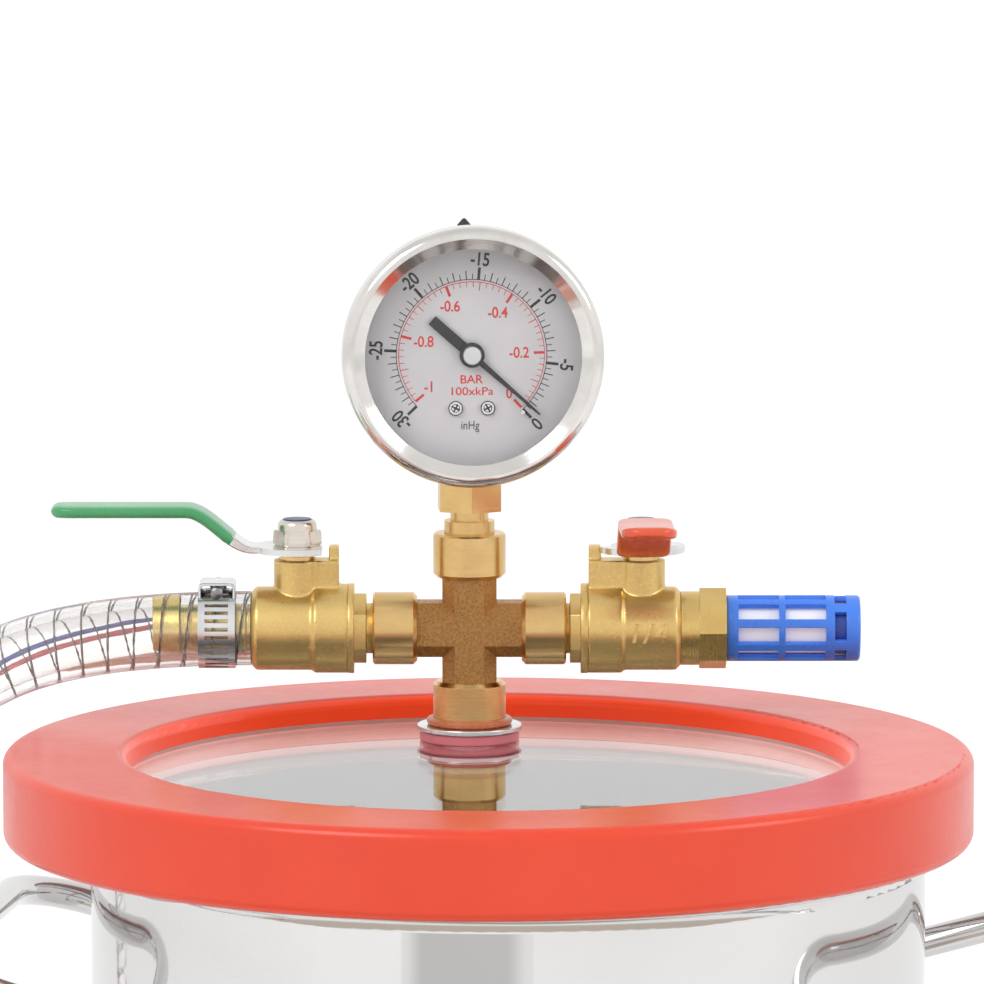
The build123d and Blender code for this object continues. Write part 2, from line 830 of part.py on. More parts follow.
def lever_side(thickness, start, end):
    """Side view of the lever's strip between two distances from the stem."""
    middle = lever_bottom + lever_sheet / 2
    lift_x = lever_knee + slope_run

    def height(x):
        if x <= lever_knee:
            return middle
        if x >= lift_x:
            return middle + lever_lift
        return middle + (x - lever_knee) * math.tan(math.radians(lever_slope))

    stations = sorted({start, end, *[x for x in (lever_knee, lift_x) if start < x < end]})
    half = thickness / 2
    shift = half * math.tan(math.radians(lever_slope / 2))
    above, below = [], []
    for x in stations:
        bend = (x == lift_x) - (x == lever_knee)
        sloping = lever_knee < x < lift_x
        rise = half / math.cos(math.radians(lever_slope)) if sloping else half
        above.append((x + bend * shift, height(x) + rise))
        below.append((x - bend * shift, height(x) - rise))
    return Polygon(*above, *reversed(below), align=None)


def valve_lever(turn):
    """Pressed steel lever: stop plate, rising strip, square hole for the stem."""
    strip = extrude(Plane.XZ * lever_side(lever_sheet, 0, lever_length), lever_w / 2, both=True)
    corner = lever_w / 2 - 0.1
    far = [e for e in strip.edges().filter_by(Axis.Z) if e.center().X > lever_length - 1]
    strip = fillet(far, corner * 0.8)
    plate = rod(2 * lever_ear_r, lever_bottom, lever_top)
    plate -= Pos(-2 * lever_ear_r - lever_back, 0, lever_bottom) * Box(
        2 * lever_ear_r, 4 * lever_ear_r, 4, align=(Align.MIN, Align.CENTER, Align.CENTER)
    )
    plate -= lever_stop_gap()
    lever = plate + strip
    hole = Pos(0, 0, lever_bottom - 1) * Box(
        stem_d, stem_d - 1.4, 4, align=(Align.CENTER, Align.CENTER, Align.MIN)
    ) & rod(stem_d, lever_bottom - 1, lever_bottom + 3)
    return Pos(stem_from_cross, 0, 0) * Rot(0, 0, turn) * (lever - hole)


def lever_stop_gap():
    """Room for the stop post: straight behind when open, at the lever's left side when shut."""
    clear = 0.25
    near = post_near - clear
    half = post_width / 2 + clear
    reach = 2 * lever_ear_r
    tall = Pos(0, 0, lever_bottom + lever_sheet / 2)
    quadrant = Pos(-reach, -reach, 0) * Box(reach, reach, 4, align=(Align.MIN, Align.MIN, Align.CENTER))
    quadrant += Pos(-reach, 0, 0) * Box(reach, 2 * half, 4, align=(Align.MIN, Align.CENTER, Align.CENTER))
    quadrant += Pos(0, -reach, 0) * Box(2 * half, reach, 4, align=(Align.CENTER, Align.MIN, Align.CENTER))
    return tall * (quadrant - rod(2 * near, -4, 4))


def valve_grip(turn):
    """Dipped vinyl sleeve over the lever's end."""
    outer = extrude(
        Plane.XZ * lever_side(grip_thickness, grip_start, lever_length + 1.2), grip_w / 2, both=True
    )
    upright = [e for e in outer.edges().filter_by(Axis.Z) if e.center().X > lever_length]
    outer = fillet(upright, grip_w / 2 * 0.85)
    crest = [
        e
        for e in outer.edges()
        if e.length > 3 and e.center().X > grip_start + 0.5 and abs(e.tangent_at(0.5).Z) < 0.9
    ]
    outer = fillet(crest, min(1.3, grip_thickness * 0.3))
    pocket = extrude(
        Plane.XZ * lever_side(lever_sheet, grip_start - 5, lever_length), lever_w / 2, both=True
    )
    far = [e for e in pocket.edges().filter_by(Axis.Z) if e.center().X > lever_length - 1]
    pocket = fillet(far, (lever_w / 2 - 0.1) * 0.8)
    return Pos(stem_from_cross, 0, 0) * Rot(0, 0, turn) * (outer - pocket)


def valve_nut(turn):
    """Self-locking nut: hexagon, rolled collar and a bore on the stem's thread."""
    hex_top = lever_top + nut_hex_h
    top = lever_top + nut_h
    corner_r = nut_flats / 2 / math.cos(math.radians(30))
    nut = prism(nut_flats, 6, lever_top, hex_top) & turned(
        (0, lever_top), (corner_r - 0.7, lever_top), (corner_r, lever_top + 0.5),
        (corner_r, hex_top - 0.5), (nut_flats / 2, hex_top), (0, hex_top),
    )
    nut += turned(
        (0, hex_top), (nut_collar_d / 2, hex_top), (nut_collar_d / 2, top),
        (0, top), corners=[((nut_collar_d / 2, top), 0.9)],
    )
    nut -= rod(stem_d - 1.4, lever_top - 1, top + 1)
    return Pos(stem_from_cross, 0, 0) * Rot(0, 0, turn) * nut


def right_valve_end():
    """Screwed end: thread into the barrel, neck, octagon and a tapped port."""
    end = rod(port_thread_d() - 0.1, end_seat, right_end)
    end += rod(octagon_neck_d, right_end, octagon_start)
    octagon = prism(octagon_flats, 8, octagon_start, octagon_end, first_corner=0)
    end += octagon
    end -= rod(flow_d, end_seat - 1, octagon_end)
    end -= rod(filter_thread_d + 2 * thread_play, octagon_end - port_depth, octagon_end + 1)
    return along_x(end)


def hose_barb():
    """Screwed end of the left valve, drawn out into a ridged hose tail."""
    ridge = barb_length / barb_count
    points = [(flow_d / 2, end_seat), (port_thread_d() / 2 - 0.05, end_seat)]
    points += [(port_thread_d() / 2 - 0.05, left_end), (barb_root_d / 2, left_end)]
    for number in range(barb_count):
        foot = left_end + ridge * number
        points += [(barb_root_d / 2, foot + 1.0), (barb_d / 2, foot + 1.6)]
        points += [(barb_root_d / 2, foot + ridge)]
    points += [(flow_d / 2, left_end + barb_length)]
    return along_x(turned(*points))


# ------------------------------------------------------------------ intake filter


def filter_body():
    """Moulded cage: threaded spigot, two rows of windows, a slotted band and a closed end."""
    end = filter_start + filter_length
    bore = filter_d - 2 * filter_wall
    cage = turned(
        (0, filter_start), (filter_d / 2, filter_start), (filter_d / 2, end), (0, end),
        corners=[((filter_d / 2, end), 1.0)],
    )
    cage += rod(filter_thread_d, filter_start - thread_reach, filter_start)
    cage -= rod(bore, filter_start + 1.2, end - 1.6)
    cage -= rod(flow_d - 1.0, filter_start - thread_reach - 1, filter_start + 2)
    arc = 360 / filter_window_count
    for row in range(2):
        low = filter_start + filter_first_row + row * (filter_window + filter_rib)
        for number in range(filter_window_count):
            cage -= Rot(0, 0, arc * number) * window(bore, low, filter_window, arc * filter_window_share)
    for number in range(filter_slot_count):
        arc = 360 / filter_slot_count
        low = filter_start + filter_slot_start
        cage -= Rot(0, 0, arc * (number + 0.5)) * window(bore, low, filter_slot, arc * filter_window_share)
    return on_right(along_x(cage))


def window(bore, low, height, degrees):
    """Cutter for one window, through the wall only."""
    wide = revolve(
        Plane.XZ * Pos(bore / 2 + filter_wall / 2, low + height / 2) * Rectangle(filter_wall + 2, height),
        Axis.Z, revolution_arc=degrees,
    )
    return Rot(0, 0, -degrees / 2) * wide


def filter_core():
    bore = filter_d - 2 * filter_wall
    end = filter_start + filter_length
    core = ring(bore - 0.1, flow_d - 2, filter_start + 1.2, end - 1.6)
    return on_right(along_x(core))


# ------------------------------------------------------------------ hose and clip


def clamp_band():
    """Perforated steel band round the hose."""
    inner = hose_od + 2 * clamp_play
    band = ring(inner + 2 * clamp_sheet, inner, clamp_start, clamp_start + clamp_width)
    for number in range(clamp_slot_count):
        slot = Pos(inner / 2, 0, clamp_start + clamp_width / 2) * Box(4, clamp_slot_w, clamp_slot)
        band -= Rot(0, 0, 360 / clamp_slot_count * number) * slot
    return on_left(along_x(band))


def clamp_housing():
    """Folded saddle over the worm, standing on the band."""
    seat = hose_od / 2 + clamp_play + clamp_sheet
    foot = Pos(0, 0, seat - 2) * Box(
        clamp_width + 0.2, housing_length, housing_h + 2,
        align=(Align.CENTER, Align.CENTER, Align.MIN),
    )
    foot = fillet(foot.edges().filter_by(Axis.Y).group_by(Axis.Z)[-1], 2.0)
    tunnel = Pos(0, 0, seat + 0.2 + worm_d / 2) * Rot(90, 0, 0) * rod(
        worm_d + 0.2, -housing_length, housing_length
    )
    saddle = foot - along_x(rod(2 * seat, -housing_length, housing_length)) - tunnel
    return on_left(Pos(clamp_start + clamp_width / 2, 0, 0) * saddle)


def clamp_screw():
    """Worm with its hexagon head at the back."""
    seat = hose_od / 2 + clamp_play + clamp_sheet
    worm = rod(worm_d, -housing_length / 2, housing_length / 2)
    worm += prism(worm_head_flats, 6, housing_length / 2 + 0.3, housing_length / 2 + 0.3 + worm_head)
    worm += rod(worm_d - 1, housing_length / 2, housing_length / 2 + 1)
    worm = Pos(0, 0, seat + 0.2 + worm_d / 2) * Rot(90, 0, 0) * worm
    return on_left(Pos(clamp_start + clamp_width / 2, 0, 0) * worm)


def route_radii():
    """Arc radius at each corner: 0.45 of the shorter run over the tangent of half the turn."""
    points = [Vector(*p) for p in hose_route]
    radii = []
    for before, corner, after in zip(points, points[1:], points[2:]):
        turn = (corner - before).get_angle(after - corner)
        shorter = min((corner - before).length, (after - corner).length)
        radii.append(0.45 * shorter / math.tan(math.radians(turn / 2)))
    return radii


def hose():
    radii = route_radii()
    path = FilletPolyline(*hose_route, radius=radii)
    wall = Circle(hose_od / 2) - Circle(hose_id / 2)
    tube = sweep(Plane(origin=path @ 0, z_dir=path % 0) * wall, path)
    section = math.pi * (hose_od**2 - hose_id**2) / 4
    print("hose radii", [round(r) for r in radii], "length", round(path.length))
    print("hose volume over section times length", round(tube.volume / section / path.length, 4))
    return tube


def coil_arcs():
    """Centre, radius, first angle and sweep of each half turn, from the hose's last point."""
    x, y, _ = hose_route[-1]
    arcs = []
    for number, radius in enumerate(coil_half_turns):
        side = -1 if number % 2 == 0 else 1
        y += side * radius
        arcs.append((x, y, radius, 90 if number % 2 == 0 else 270))
        y += side * radius
    return arcs


def coil_lift(degrees):
    """Height gained that far round the last half turn, eased in and out."""
    steep = coil_rise / (coil_rise_end - coil_rise_ease)
    if degrees < coil_rise_ease:
        return steep * degrees**2 / (2 * coil_rise_ease)
    if degrees < coil_rise_end - coil_rise_ease:
        return steep * (degrees - coil_rise_ease / 2)
    short = max(coil_rise_end - degrees, 0)
    return coil_rise - steep * short**2 / (2 * coil_rise_ease)


def hose_coil():
    """Outer shape of the coil: two half turns on the floor and the last one climbing onto them."""
    low = hose_route[-1][2]
    *flat, (x, y, radius, first) = coil_arcs()
    line = [
        CenterArc((cx, cy, low), flat_radius, start, 180) for cx, cy, flat_radius, start in flat
    ]
    climb = []
    for degrees in range(0, 181, 15):
        angle = math.radians(first + degrees)
        climb.append(
            (x + radius * math.cos(angle), y + radius * math.sin(angle), low + coil_lift(degrees))
        )
    line.append(Spline(*climb, tangents=[(-1, 0, 0), (1, 0, 0)]))
    path = Wire(line)
    return sweep(Plane(origin=path @ 0, z_dir=path % 0) * Circle(hose_od / 2), path)


def at_coil_end(solid):
    """Moves a piece drawn on +X to the coil's free end, which lies on the coil and points to +X."""
    x, y, radius, _ = coil_arcs()[-1]
    return Pos(x, y - radius, hose_route[-1][2] + coil_rise) * solid


def pump_fitting():
    """Brass hose tail with a hexagon and a male thread for the pump's inlet."""
    fitting = rod(hose_od - 2, 0, 1.0)
    fitting += prism(pump_hex_flats, 6, 1.0, 1.0 + pump_hex, first_corner=30)
    fitting += rod(thread_d, 1.0 + pump_hex, 1.0 + pump_hex + pump_thread_length)
    fitting -= rod(flow_d, -1, 2 + pump_hex + pump_thread_length)
    return at_coil_end(along_x(fitting))


# ------------------------------------------------------------------ assembly

left_open = 0.0
right_shut = -90.0

parts = {
    "pot_body": pot_body(),
    "handle_left": handle(180 + handle_turn),
    "handle_right": handle(handle_turn),
    "lid_gasket": lid_gasket(),
    "lid_glass": lid_glass(),
    "upper_gasket": stack_ring(soft_gasket_d, glass_top, glass_top + soft_gasket, 0.6),
    "upper_washer": stack_ring(washer_d, glass_top + soft_gasket, stack_top, 0.3),
    "o_ring": o_ring_seal(),
    "lower_gasket": stack_ring(soft_gasket_d, glass_bottom - soft_gasket, glass_bottom, 0.6),
    "lower_washer": stack_ring(
        washer_d, glass_bottom - soft_gasket - washer, glass_bottom - soft_gasket, 0.3
    ),
    "lock_nut": lock_nut(),
    "lid_nipple": lid_nipple(),
    "cross_fitting": cross_fitting(),
    "gauge_stem": gauge_stem(),
    "gauge_case": gauge_case(),
    "gauge_bezel": gauge_bezel(),
    "gauge_lens_seal": gauge_lens_seal(),
    "gauge_lens": gauge_lens(),
    "gauge_dial": gauge_dial(),
    "gauge_dial_screws": gauge_dial_screws(),
    "gauge_stop_pin": gauge_stop_pin(),
    "gauge_vent_plug": gauge_vent_plug(),
    "gauge_pointer": gauge_pointer(),
    "gauge_pointer_shaft": gauge_pointer_shaft(),
    "gauge_sector_gear": gauge_sector_gear(),
    "gauge_link": gauge_link(),
    "gauge_back_plate": gauge_back_plate(),
    "gauge_front_plate": gauge_front_plate(),
    "gauge_bourdon_tube": gauge_bourdon_tube(),
    "left_valve_body": on_left(
        valve_barrel(left_hex_start, left_hex_end, left_rim_end, left_step, left_end)
    ),
    "right_valve_body": on_right(
        valve_barrel(right_hex_start, right_hex_end, right_rim_end, right_step, right_end)
    ),
    "right_valve_end": on_right(right_valve_end()),
    "hose_barb": on_left(hose_barb()),
    "filter_body": filter_body(),
    "filter_core": filter_core(),
    "clamp_band": clamp_band(),
    "clamp_housing": clamp_housing(),
    "clamp_screw": clamp_screw(),
    "hose": hose(),
    "hose_coil": hose_coil(),
    "pump_fitting": pump_fitting(),
}

for side, move, turn in (("left", on_left, left_open), ("right", on_right, right_shut)):
    parts[f"{side}_valve_seats"] = move(valve_seats())
    parts[f"{side}_valve_ball"] = move(valve_ball(turn))
    parts[f"{side}_valve_stem"] = move(valve_stem(turn))
    parts[f"{side}_valve_packing"] = move(valve_packing())
    parts[f"{side}_valve_lever"] = move(valve_lever(turn))
    parts[f"{side}_valve_grip"] = move(valve_grip(turn))
    parts[f"{side}_valve_nut"] = move(valve_nut(turn))

os.makedirs("parts", exist_ok=True)
for name, solid in parts.items():
    export_step(solid, f"parts/{name}.step")
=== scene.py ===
"""Finish, stage and camera for a vacuum degassing chamber.

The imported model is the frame. Each operator below dresses one group of its pieces.
Everything is in metres, with the pot standing on Z = 0 and the dial facing -Y.
"""

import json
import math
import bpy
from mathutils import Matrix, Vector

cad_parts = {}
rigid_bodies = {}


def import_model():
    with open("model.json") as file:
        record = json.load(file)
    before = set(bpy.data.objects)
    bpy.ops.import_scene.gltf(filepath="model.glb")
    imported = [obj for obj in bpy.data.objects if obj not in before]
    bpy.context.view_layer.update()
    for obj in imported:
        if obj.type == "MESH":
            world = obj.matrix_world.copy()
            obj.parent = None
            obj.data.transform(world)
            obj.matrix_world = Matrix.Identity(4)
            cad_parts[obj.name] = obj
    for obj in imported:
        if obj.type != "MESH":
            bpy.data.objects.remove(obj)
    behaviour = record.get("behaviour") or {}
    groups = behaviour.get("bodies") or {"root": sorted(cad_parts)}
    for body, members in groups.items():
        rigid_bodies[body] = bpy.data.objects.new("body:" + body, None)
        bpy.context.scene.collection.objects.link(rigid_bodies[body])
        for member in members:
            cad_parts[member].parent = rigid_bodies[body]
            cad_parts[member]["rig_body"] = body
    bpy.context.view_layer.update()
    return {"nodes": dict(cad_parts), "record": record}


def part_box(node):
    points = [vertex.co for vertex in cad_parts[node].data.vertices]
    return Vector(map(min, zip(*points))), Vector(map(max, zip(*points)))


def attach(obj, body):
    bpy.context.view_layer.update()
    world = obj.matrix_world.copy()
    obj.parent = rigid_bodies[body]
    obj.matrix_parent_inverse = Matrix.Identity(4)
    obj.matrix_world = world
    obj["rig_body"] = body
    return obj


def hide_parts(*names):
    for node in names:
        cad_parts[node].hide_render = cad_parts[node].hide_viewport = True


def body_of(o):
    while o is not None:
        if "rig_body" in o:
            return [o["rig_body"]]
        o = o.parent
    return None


bl_info = {
    "name": "Vacuum Chamber Finish",
    "version": (1, 0, 0),
    "blender": (4, 5, 0),
    "location": "View3D > Sidebar > Chamber",
    "description": "Dresses a degassing chamber: pot, lid, cross, gauge, valves, filter and hose",
    "category": "Object",
}

import bmesh
import bpy
from mathutils import Matrix, Vector

for leftover in list(bpy.data.objects):
    bpy.data.objects.remove(leftover)
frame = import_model()

MM = 0.001
WELD = 0.000002  # vertices closer than this become one
FLAT = math.radians(0.6)  # faces that turn by less than this are one face
WHITE = (1.0, 1.0, 1.0, 1.0)

# Places that several pieces share, in metres
FITTING_AXIS = Vector((-0.010, 0.054, 0.268))
DIAL_CENTRE = Vector((-0.010, 0.054, 0.3411))
DIAL_TURN = math.radians(4.0)
# Dial space: x right, y up, z towards the viewer
DIAL_SPACE = (
    Matrix.Translation(DIAL_CENTRE)
    @ Matrix.Rotation(DIAL_TURN, 4, "Z")
    @ Matrix.Rotation(math.radians(90), 4, "X")
)

# Corners of the hose's route; beyond the clip it drops 3 to 5 mm lower than the solid tube
HOSE_ROUTE = [
    (-0.0672, 0.0540, 0.2680),
    (-0.1130, 0.0540, 0.2680),
    (-0.1540, 0.0550, 0.2480),
    (-0.1860, 0.0546, 0.2150),
    (-0.2030, 0.0536, 0.1780),
    (-0.2045, 0.0528, 0.1030),
    (-0.2220, 0.0524, 0.0600),
    (-0.2540, 0.0528, 0.0275),
    (-0.2960, 0.0540, 0.00975),
    (-0.3420, 0.0540, 0.00975),
]


# ------------------------------------------------------------------ settings


def length_property(name, description, default, low, high):
    return bpy.props.FloatProperty(
        name=name, description=description, default=default, min=low, max=high, unit="LENGTH", subtype="DISTANCE"
    )


class ChamberSizes(bpy.types.PropertyGroup):
    """Sizes of the detail that the finish adds."""

    wire_pitch: length_property("Wire pitch", "Distance between turns of the hose's wire", 0.0069, 0.003, 0.02)
    wire_thickness: length_property("Wire thickness", "Diameter of the hose's wire", 0.0007, 0.0003, 0.002)
    stripe_width: length_property("Stripe width", "Width of each line along the hose", 0.0018, 0.0003, 0.004)
    numeral_height: length_property("Numeral height", "Height of the dial's black numerals", 0.0034, 0.002, 0.008)
    edge_round: length_property("Edge round", "Radius that breaks the brass's edges", 0.00025, 0.0, 0.001)


def colour_property(name, description, default):
    return bpy.props.FloatVectorProperty(
        name=name, description=description, default=default, min=0, max=1, size=3, subtype="COLOR"
    )


class ChamberColours(bpy.types.PropertyGroup):
    """Main colour of each finish."""

    steel: colour_property("Polished steel", "Pot and handles", (0.73, 0.72, 0.715))
    silicone: colour_property("Silicone", "Moulded ring round the lid", (0.83, 0.050, 0.007))
    brass_cast: colour_property("Forged brass", "Blasted arms of the cross", (0.50, 0.265, 0.092))
    brass_bright: colour_property("Turned brass", "Collars, nuts and hexagons", (0.76, 0.52, 0.23))
    brass_valve: colour_property("Valve brass", "Valve barrels", (0.76, 0.54, 0.205))
    dial: colour_property("Dial face", "Printed dial", (0.61, 0.60, 0.605))
    dial_red: colour_property("Dial red", "Inner scale of the dial", (0.62, 0.03, 0.025))
    grip_green: colour_property("Green grip", "Grip of the suction valve", (0.06, 0.38, 0.135))
    grip_red: colour_property("Red grip", "Grip of the vent valve", (0.80, 0.095, 0.025))
    filter_blue: colour_property("Filter blue", "Moulded cage of the intake filter", (0.06, 0.24, 0.90))
    stripe_blue: colour_property("Blue stripe", "Blue line along the hose", (0.05, 0.12, 0.55))
    stripe_red: colour_property("Red stripe", "Red line along the hose", (0.72, 0.05, 0.08))


def sizes():
    return bpy.context.scene.chamber_sizes


def colour(name):
    return (*getattr(bpy.context.scene.chamber_colours, name), 1.0)


# ------------------------------------------------------------------ node helpers


class NodeSheet:
    """Adds nodes to one tree, giving each input a value or a link."""

    def __init__(self, tree, fresh=True):
        self.tree = tree
        if fresh:
            tree.nodes.clear()

    def feed(self, socket, value):
        if isinstance(value, bpy.types.NodeSocket):
            self.tree.links.new(value, socket)
        else:
            socket.default_value = value

    def add(self, kind, inputs=None, **settings):
        node = self.tree.nodes.new(kind)
        for key, value in settings.items():
            setattr(node, key, value)
        for key, value in (inputs or {}).items():
            self.feed(node.inputs[key], value)
        return node

    def math(self, operation, *values):
        return self.add("ShaderNodeMath", dict(enumerate(values)), operation=operation).outputs[0]

    def vector(self, operation, *values):
        return self.add("ShaderNodeVectorMath", dict(enumerate(values)), operation=operation).outputs[0]

    def scaled(self, vector, factor):
        return self.add("ShaderNodeVectorMath", {0: vector, "Scale": factor}, operation="SCALE").outputs[0]

    def mix(self, factor, first, second):
        return self.add("ShaderNodeMix", {0: factor, 6: first, 7: second}, data_type="RGBA").outputs[2]

    def span(self, value, low, high, from_low=0.0, from_high=1.0):
        return self.add(
            "ShaderNodeMapRange",
            {"Value": value, "From Min": from_low, "From Max": from_high, "To Min": low, "To Max": high},
        ).outputs["Result"]

    def place(self):
        return self.add("ShaderNodeTexCoord").outputs["Object"]

    def parted(self, vector=None):
        """X, Y and Z of the object coordinates, or of another vector."""
        return self.add("ShaderNodeSeparateXYZ", {0: self.place() if vector is None else vector}).outputs

    def noise(self, vector, scale, detail, **more):
        return self.add(
            "ShaderNodeTexNoise", {"Vector": vector, "Scale": scale, "Detail": detail, **more}
        ).outputs["Fac"]

    def bump(self, depth, height):
        return self.add("ShaderNodeBump", {"Strength": 1.0, "Distance": depth, "Height": height}).outputs["Normal"]


def start_group(name, inputs, outputs):
    """A new shader node group with its sockets; returns its sheet, input node and output node."""
    tree = bpy.data.node_groups.new(name, "ShaderNodeTree")
    for label, kind, default in inputs:
        socket = tree.interface.new_socket(label, in_out="INPUT", socket_type=kind)
        socket.default_value = default
    for label, kind in outputs:
        tree.interface.new_socket(label, in_out="OUTPUT", socket_type=kind)
    sheet = NodeSheet(tree)
    return sheet, sheet.add("NodeGroupInput"), sheet.add("NodeGroupOutput")


def shared_group(name, builder):
    return bpy.data.node_groups.get(name) or builder(name)


def cast_skin(name="Cast Skin"):
    """Blasted or cast grain: lumps of two sizes."""
    sheet, given, out = start_group(
        name,
        [("Scale", "NodeSocketFloat", 1500.0), ("Depth", "NodeSocketFloat", 0.00005)],
        [("Shade", "NodeSocketFloat"), ("Normal", "NodeSocketVector")],
    )
    place, scale = sheet.place(), given.outputs["Scale"]
    fine = sheet.noise(place, scale, 5.0, Roughness=0.62)
    pits = sheet.add(
        "ShaderNodeTexVoronoi", {"Vector": place, "Scale": sheet.math("MULTIPLY", scale, 0.7), "Randomness": 1.0}
    )
    height = sheet.math(
        "ADD", sheet.math("MULTIPLY", fine, 0.65), sheet.math("MULTIPLY", pits.outputs["Distance"], 0.5)
    )
    sheet.feed(out.inputs["Shade"], height)
    sheet.feed(out.inputs["Normal"], sheet.bump(given.outputs["Depth"], height))
    return sheet.tree


def handling_marks(name="Handling Marks"):
    """Soft smudges with fine stretched wipe marks in them."""
    sheet, given, out = start_group(
        name,
        [("Scale", "NodeSocketFloat", 30.0), ("Wipe", "NodeSocketFloat", 14.0)],
        [("Mask", "NodeSocketFloat")],
    )
    place, scale = sheet.place(), given.outputs["Scale"]
    cloud = sheet.noise(place, scale, 4.0, Roughness=0.55)
    wipe = sheet.add("ShaderNodeMapping", {"Vector": place, "Rotation": (0.3, 0.2, 0.7)})
    stretched = sheet.vector("MULTIPLY", wipe.outputs["Vector"], (1.0, 9.0, 3.0))
    strokes = sheet.noise(stretched, sheet.math("MULTIPLY", scale, given.outputs["Wipe"]), 3.0, Roughness=0.7)
    both = sheet.math(
        "MULTIPLY", sheet.span(cloud, 0.0, 1.0, 0.38, 0.66), sheet.span(strokes, 0.35, 1.0, 0.3, 0.7)
    )
    sheet.feed(out.inputs["Mask"], both)
    return sheet.tree


def turned_lines(name="Turned Lines"):
    """Fine rings that a lathe tool leaves round an axis. Feed it the distance along that axis."""
    sheet, given, out = start_group(
        name,
        [
            ("Along", "NodeSocketFloat", 0.0),
            ("Pitch", "NodeSocketFloat", 0.0002),
            ("Depth", "NodeSocketFloat", 0.00001),
        ],
        [("Shade", "NodeSocketFloat"), ("Normal", "NodeSocketVector")],
    )
    steps = sheet.math("DIVIDE", given.outputs["Along"], given.outputs["Pitch"])
    lines = sheet.add("ShaderNodeTexNoise", {"W": steps, "Scale": 1.0, "Detail": 2.0}, noise_dimensions="1D")
    sheet.feed(out.inputs["Shade"], lines.outputs["Fac"])
    sheet.feed(out.inputs["Normal"], sheet.bump(given.outputs["Depth"], lines.outputs["Fac"]))
    return sheet.tree


def place_group(sheet, builder, inputs):
    return sheet.add(
        "ShaderNodeGroup", inputs, node_tree=shared_group(builder.__defaults__[0], builder)
    )


def start_material(name, **plain):
    """A material with one Principled BSDF; plain numbers go straight onto its sockets."""
    material = bpy.data.materials.new(name)
    material.use_nodes = True
    sheet = NodeSheet(material.node_tree)
    shader = sheet.add("ShaderNodeBsdfPrincipled", plain)
    out = sheet.add("ShaderNodeOutputMaterial", {"Surface": shader.outputs[0]})
    return material, sheet, shader, out


# ------------------------------------------------------------------ finishes


def tinted(base, share):
    """The opaque colour with its channels scaled by one share, or by three."""
    shares = share if isinstance(share, tuple) else (share,) * 3
    return (*(min(1.0, channel * part) for channel, part in zip(base, shares)), 1.0)


def fill(sheet, shader, base, rough, normal=None):
    sheet.feed(shader.inputs["Base Color"], base)
    sheet.feed(shader.inputs["Roughness"], rough)
    if normal is not None:
        sheet.feed(shader.inputs["Normal"], normal)


def average(sheet, first, second):
    return sheet.math("MULTIPLY", sheet.math("ADD", first, second), 0.5)


def polished_steel(name, waves=0.00006):
    """Mirror-polished sheet: faint smudges, wipe marks and the slow waves of a spun wall."""
    material, sheet, shader, _ = start_material(name, Metallic=1.0)
    mask = place_group(sheet, handling_marks, {"Scale": 26.0, "Wipe": 16.0}).outputs["Mask"]
    base = colour("steel")
    wave = sheet.noise(sheet.place(), 22.0, 1.0)
    fill(sheet, shader, sheet.mix(mask, base, tinted(base, 0.93)), sheet.span(mask, 0.035, 0.10), sheet.bump(waves, wave))
    return material


def turned_metal(name, base, worn, axis, rough, pitch, depth, scale, wipe):
    """Metal with fine tool lines along one axis, worn where it is handled."""
    material, sheet, shader, _ = start_material(name, Metallic=1.0)
    lines = place_group(sheet, turned_lines, {"Along": sheet.parted()[axis], "Pitch": pitch, "Depth": depth})
    mask = place_group(sheet, handling_marks, {"Scale": scale, "Wipe": wipe}).outputs["Mask"]
    both = average(sheet, lines.outputs["Shade"], mask)
    fill(sheet, shader, sheet.mix(mask, base, worn), sheet.span(both, *rough), lines.outputs["Normal"])
    return material


def bright_steel(name, base=(0.78, 0.78, 0.79, 1.0), rough=(0.16, 0.32), axis="Z"):
    """Rolled or turned steel."""
    return turned_metal(name, base, tinted(base, 0.84), axis, rough, 0.00025, 0.000012, 120.0, 8.0)


def turned_brass(name, base, axis="Z", rough=(0.14, 0.30)):
    """Machined brass with a light tarnish."""
    return turned_metal(name, base, tinted(base, (0.86, 0.78, 0.66)), axis, rough, 0.00022, 0.000016, 90.0, 6.0)


def forged_brass(name, base, dark, grain=1900.0, depth=0.00007, rough=(0.38, 0.6)):
    """Brass with a grainy skin, darker in the hollows of the grain."""
    material, sheet, shader, _ = start_material(name, Metallic=0.85)
    skin = place_group(sheet, cast_skin, {"Scale": grain, "Depth": depth}).outputs
    mask = place_group(sheet, handling_marks, {"Scale": 70.0, "Wipe": 5.0}).outputs["Mask"]
    shade = sheet.mix(sheet.span(skin["Shade"], 0.0, 1.0, 0.35, 0.72), dark, base)
    tone = sheet.mix(sheet.math("MULTIPLY", mask, 0.6), shade, tinted(base, 1.18))
    fill(sheet, shader, tone, sheet.span(skin["Shade"], rough[1], rough[0], 0.3, 0.8), skin["Normal"])
    return material


def soft_rubber(name, base, second, rough=(0.32, 0.5), grain=900.0, depth=0.00002, **plain):
    """Moulded or dipped rubber and vinyl: uneven gloss, faint skin, specks of dust."""
    material, sheet, shader, _ = start_material(name, **plain)
    skin = place_group(sheet, cast_skin, {"Scale": grain, "Depth": depth}).outputs
    mask = place_group(sheet, handling_marks, {"Scale": 45.0, "Wipe": 5.0}).outputs["Mask"]
    both = average(sheet, skin["Shade"], mask)
    fill(sheet, shader, sheet.mix(mask, base, second), sheet.span(both, *rough), skin["Normal"])
    return material


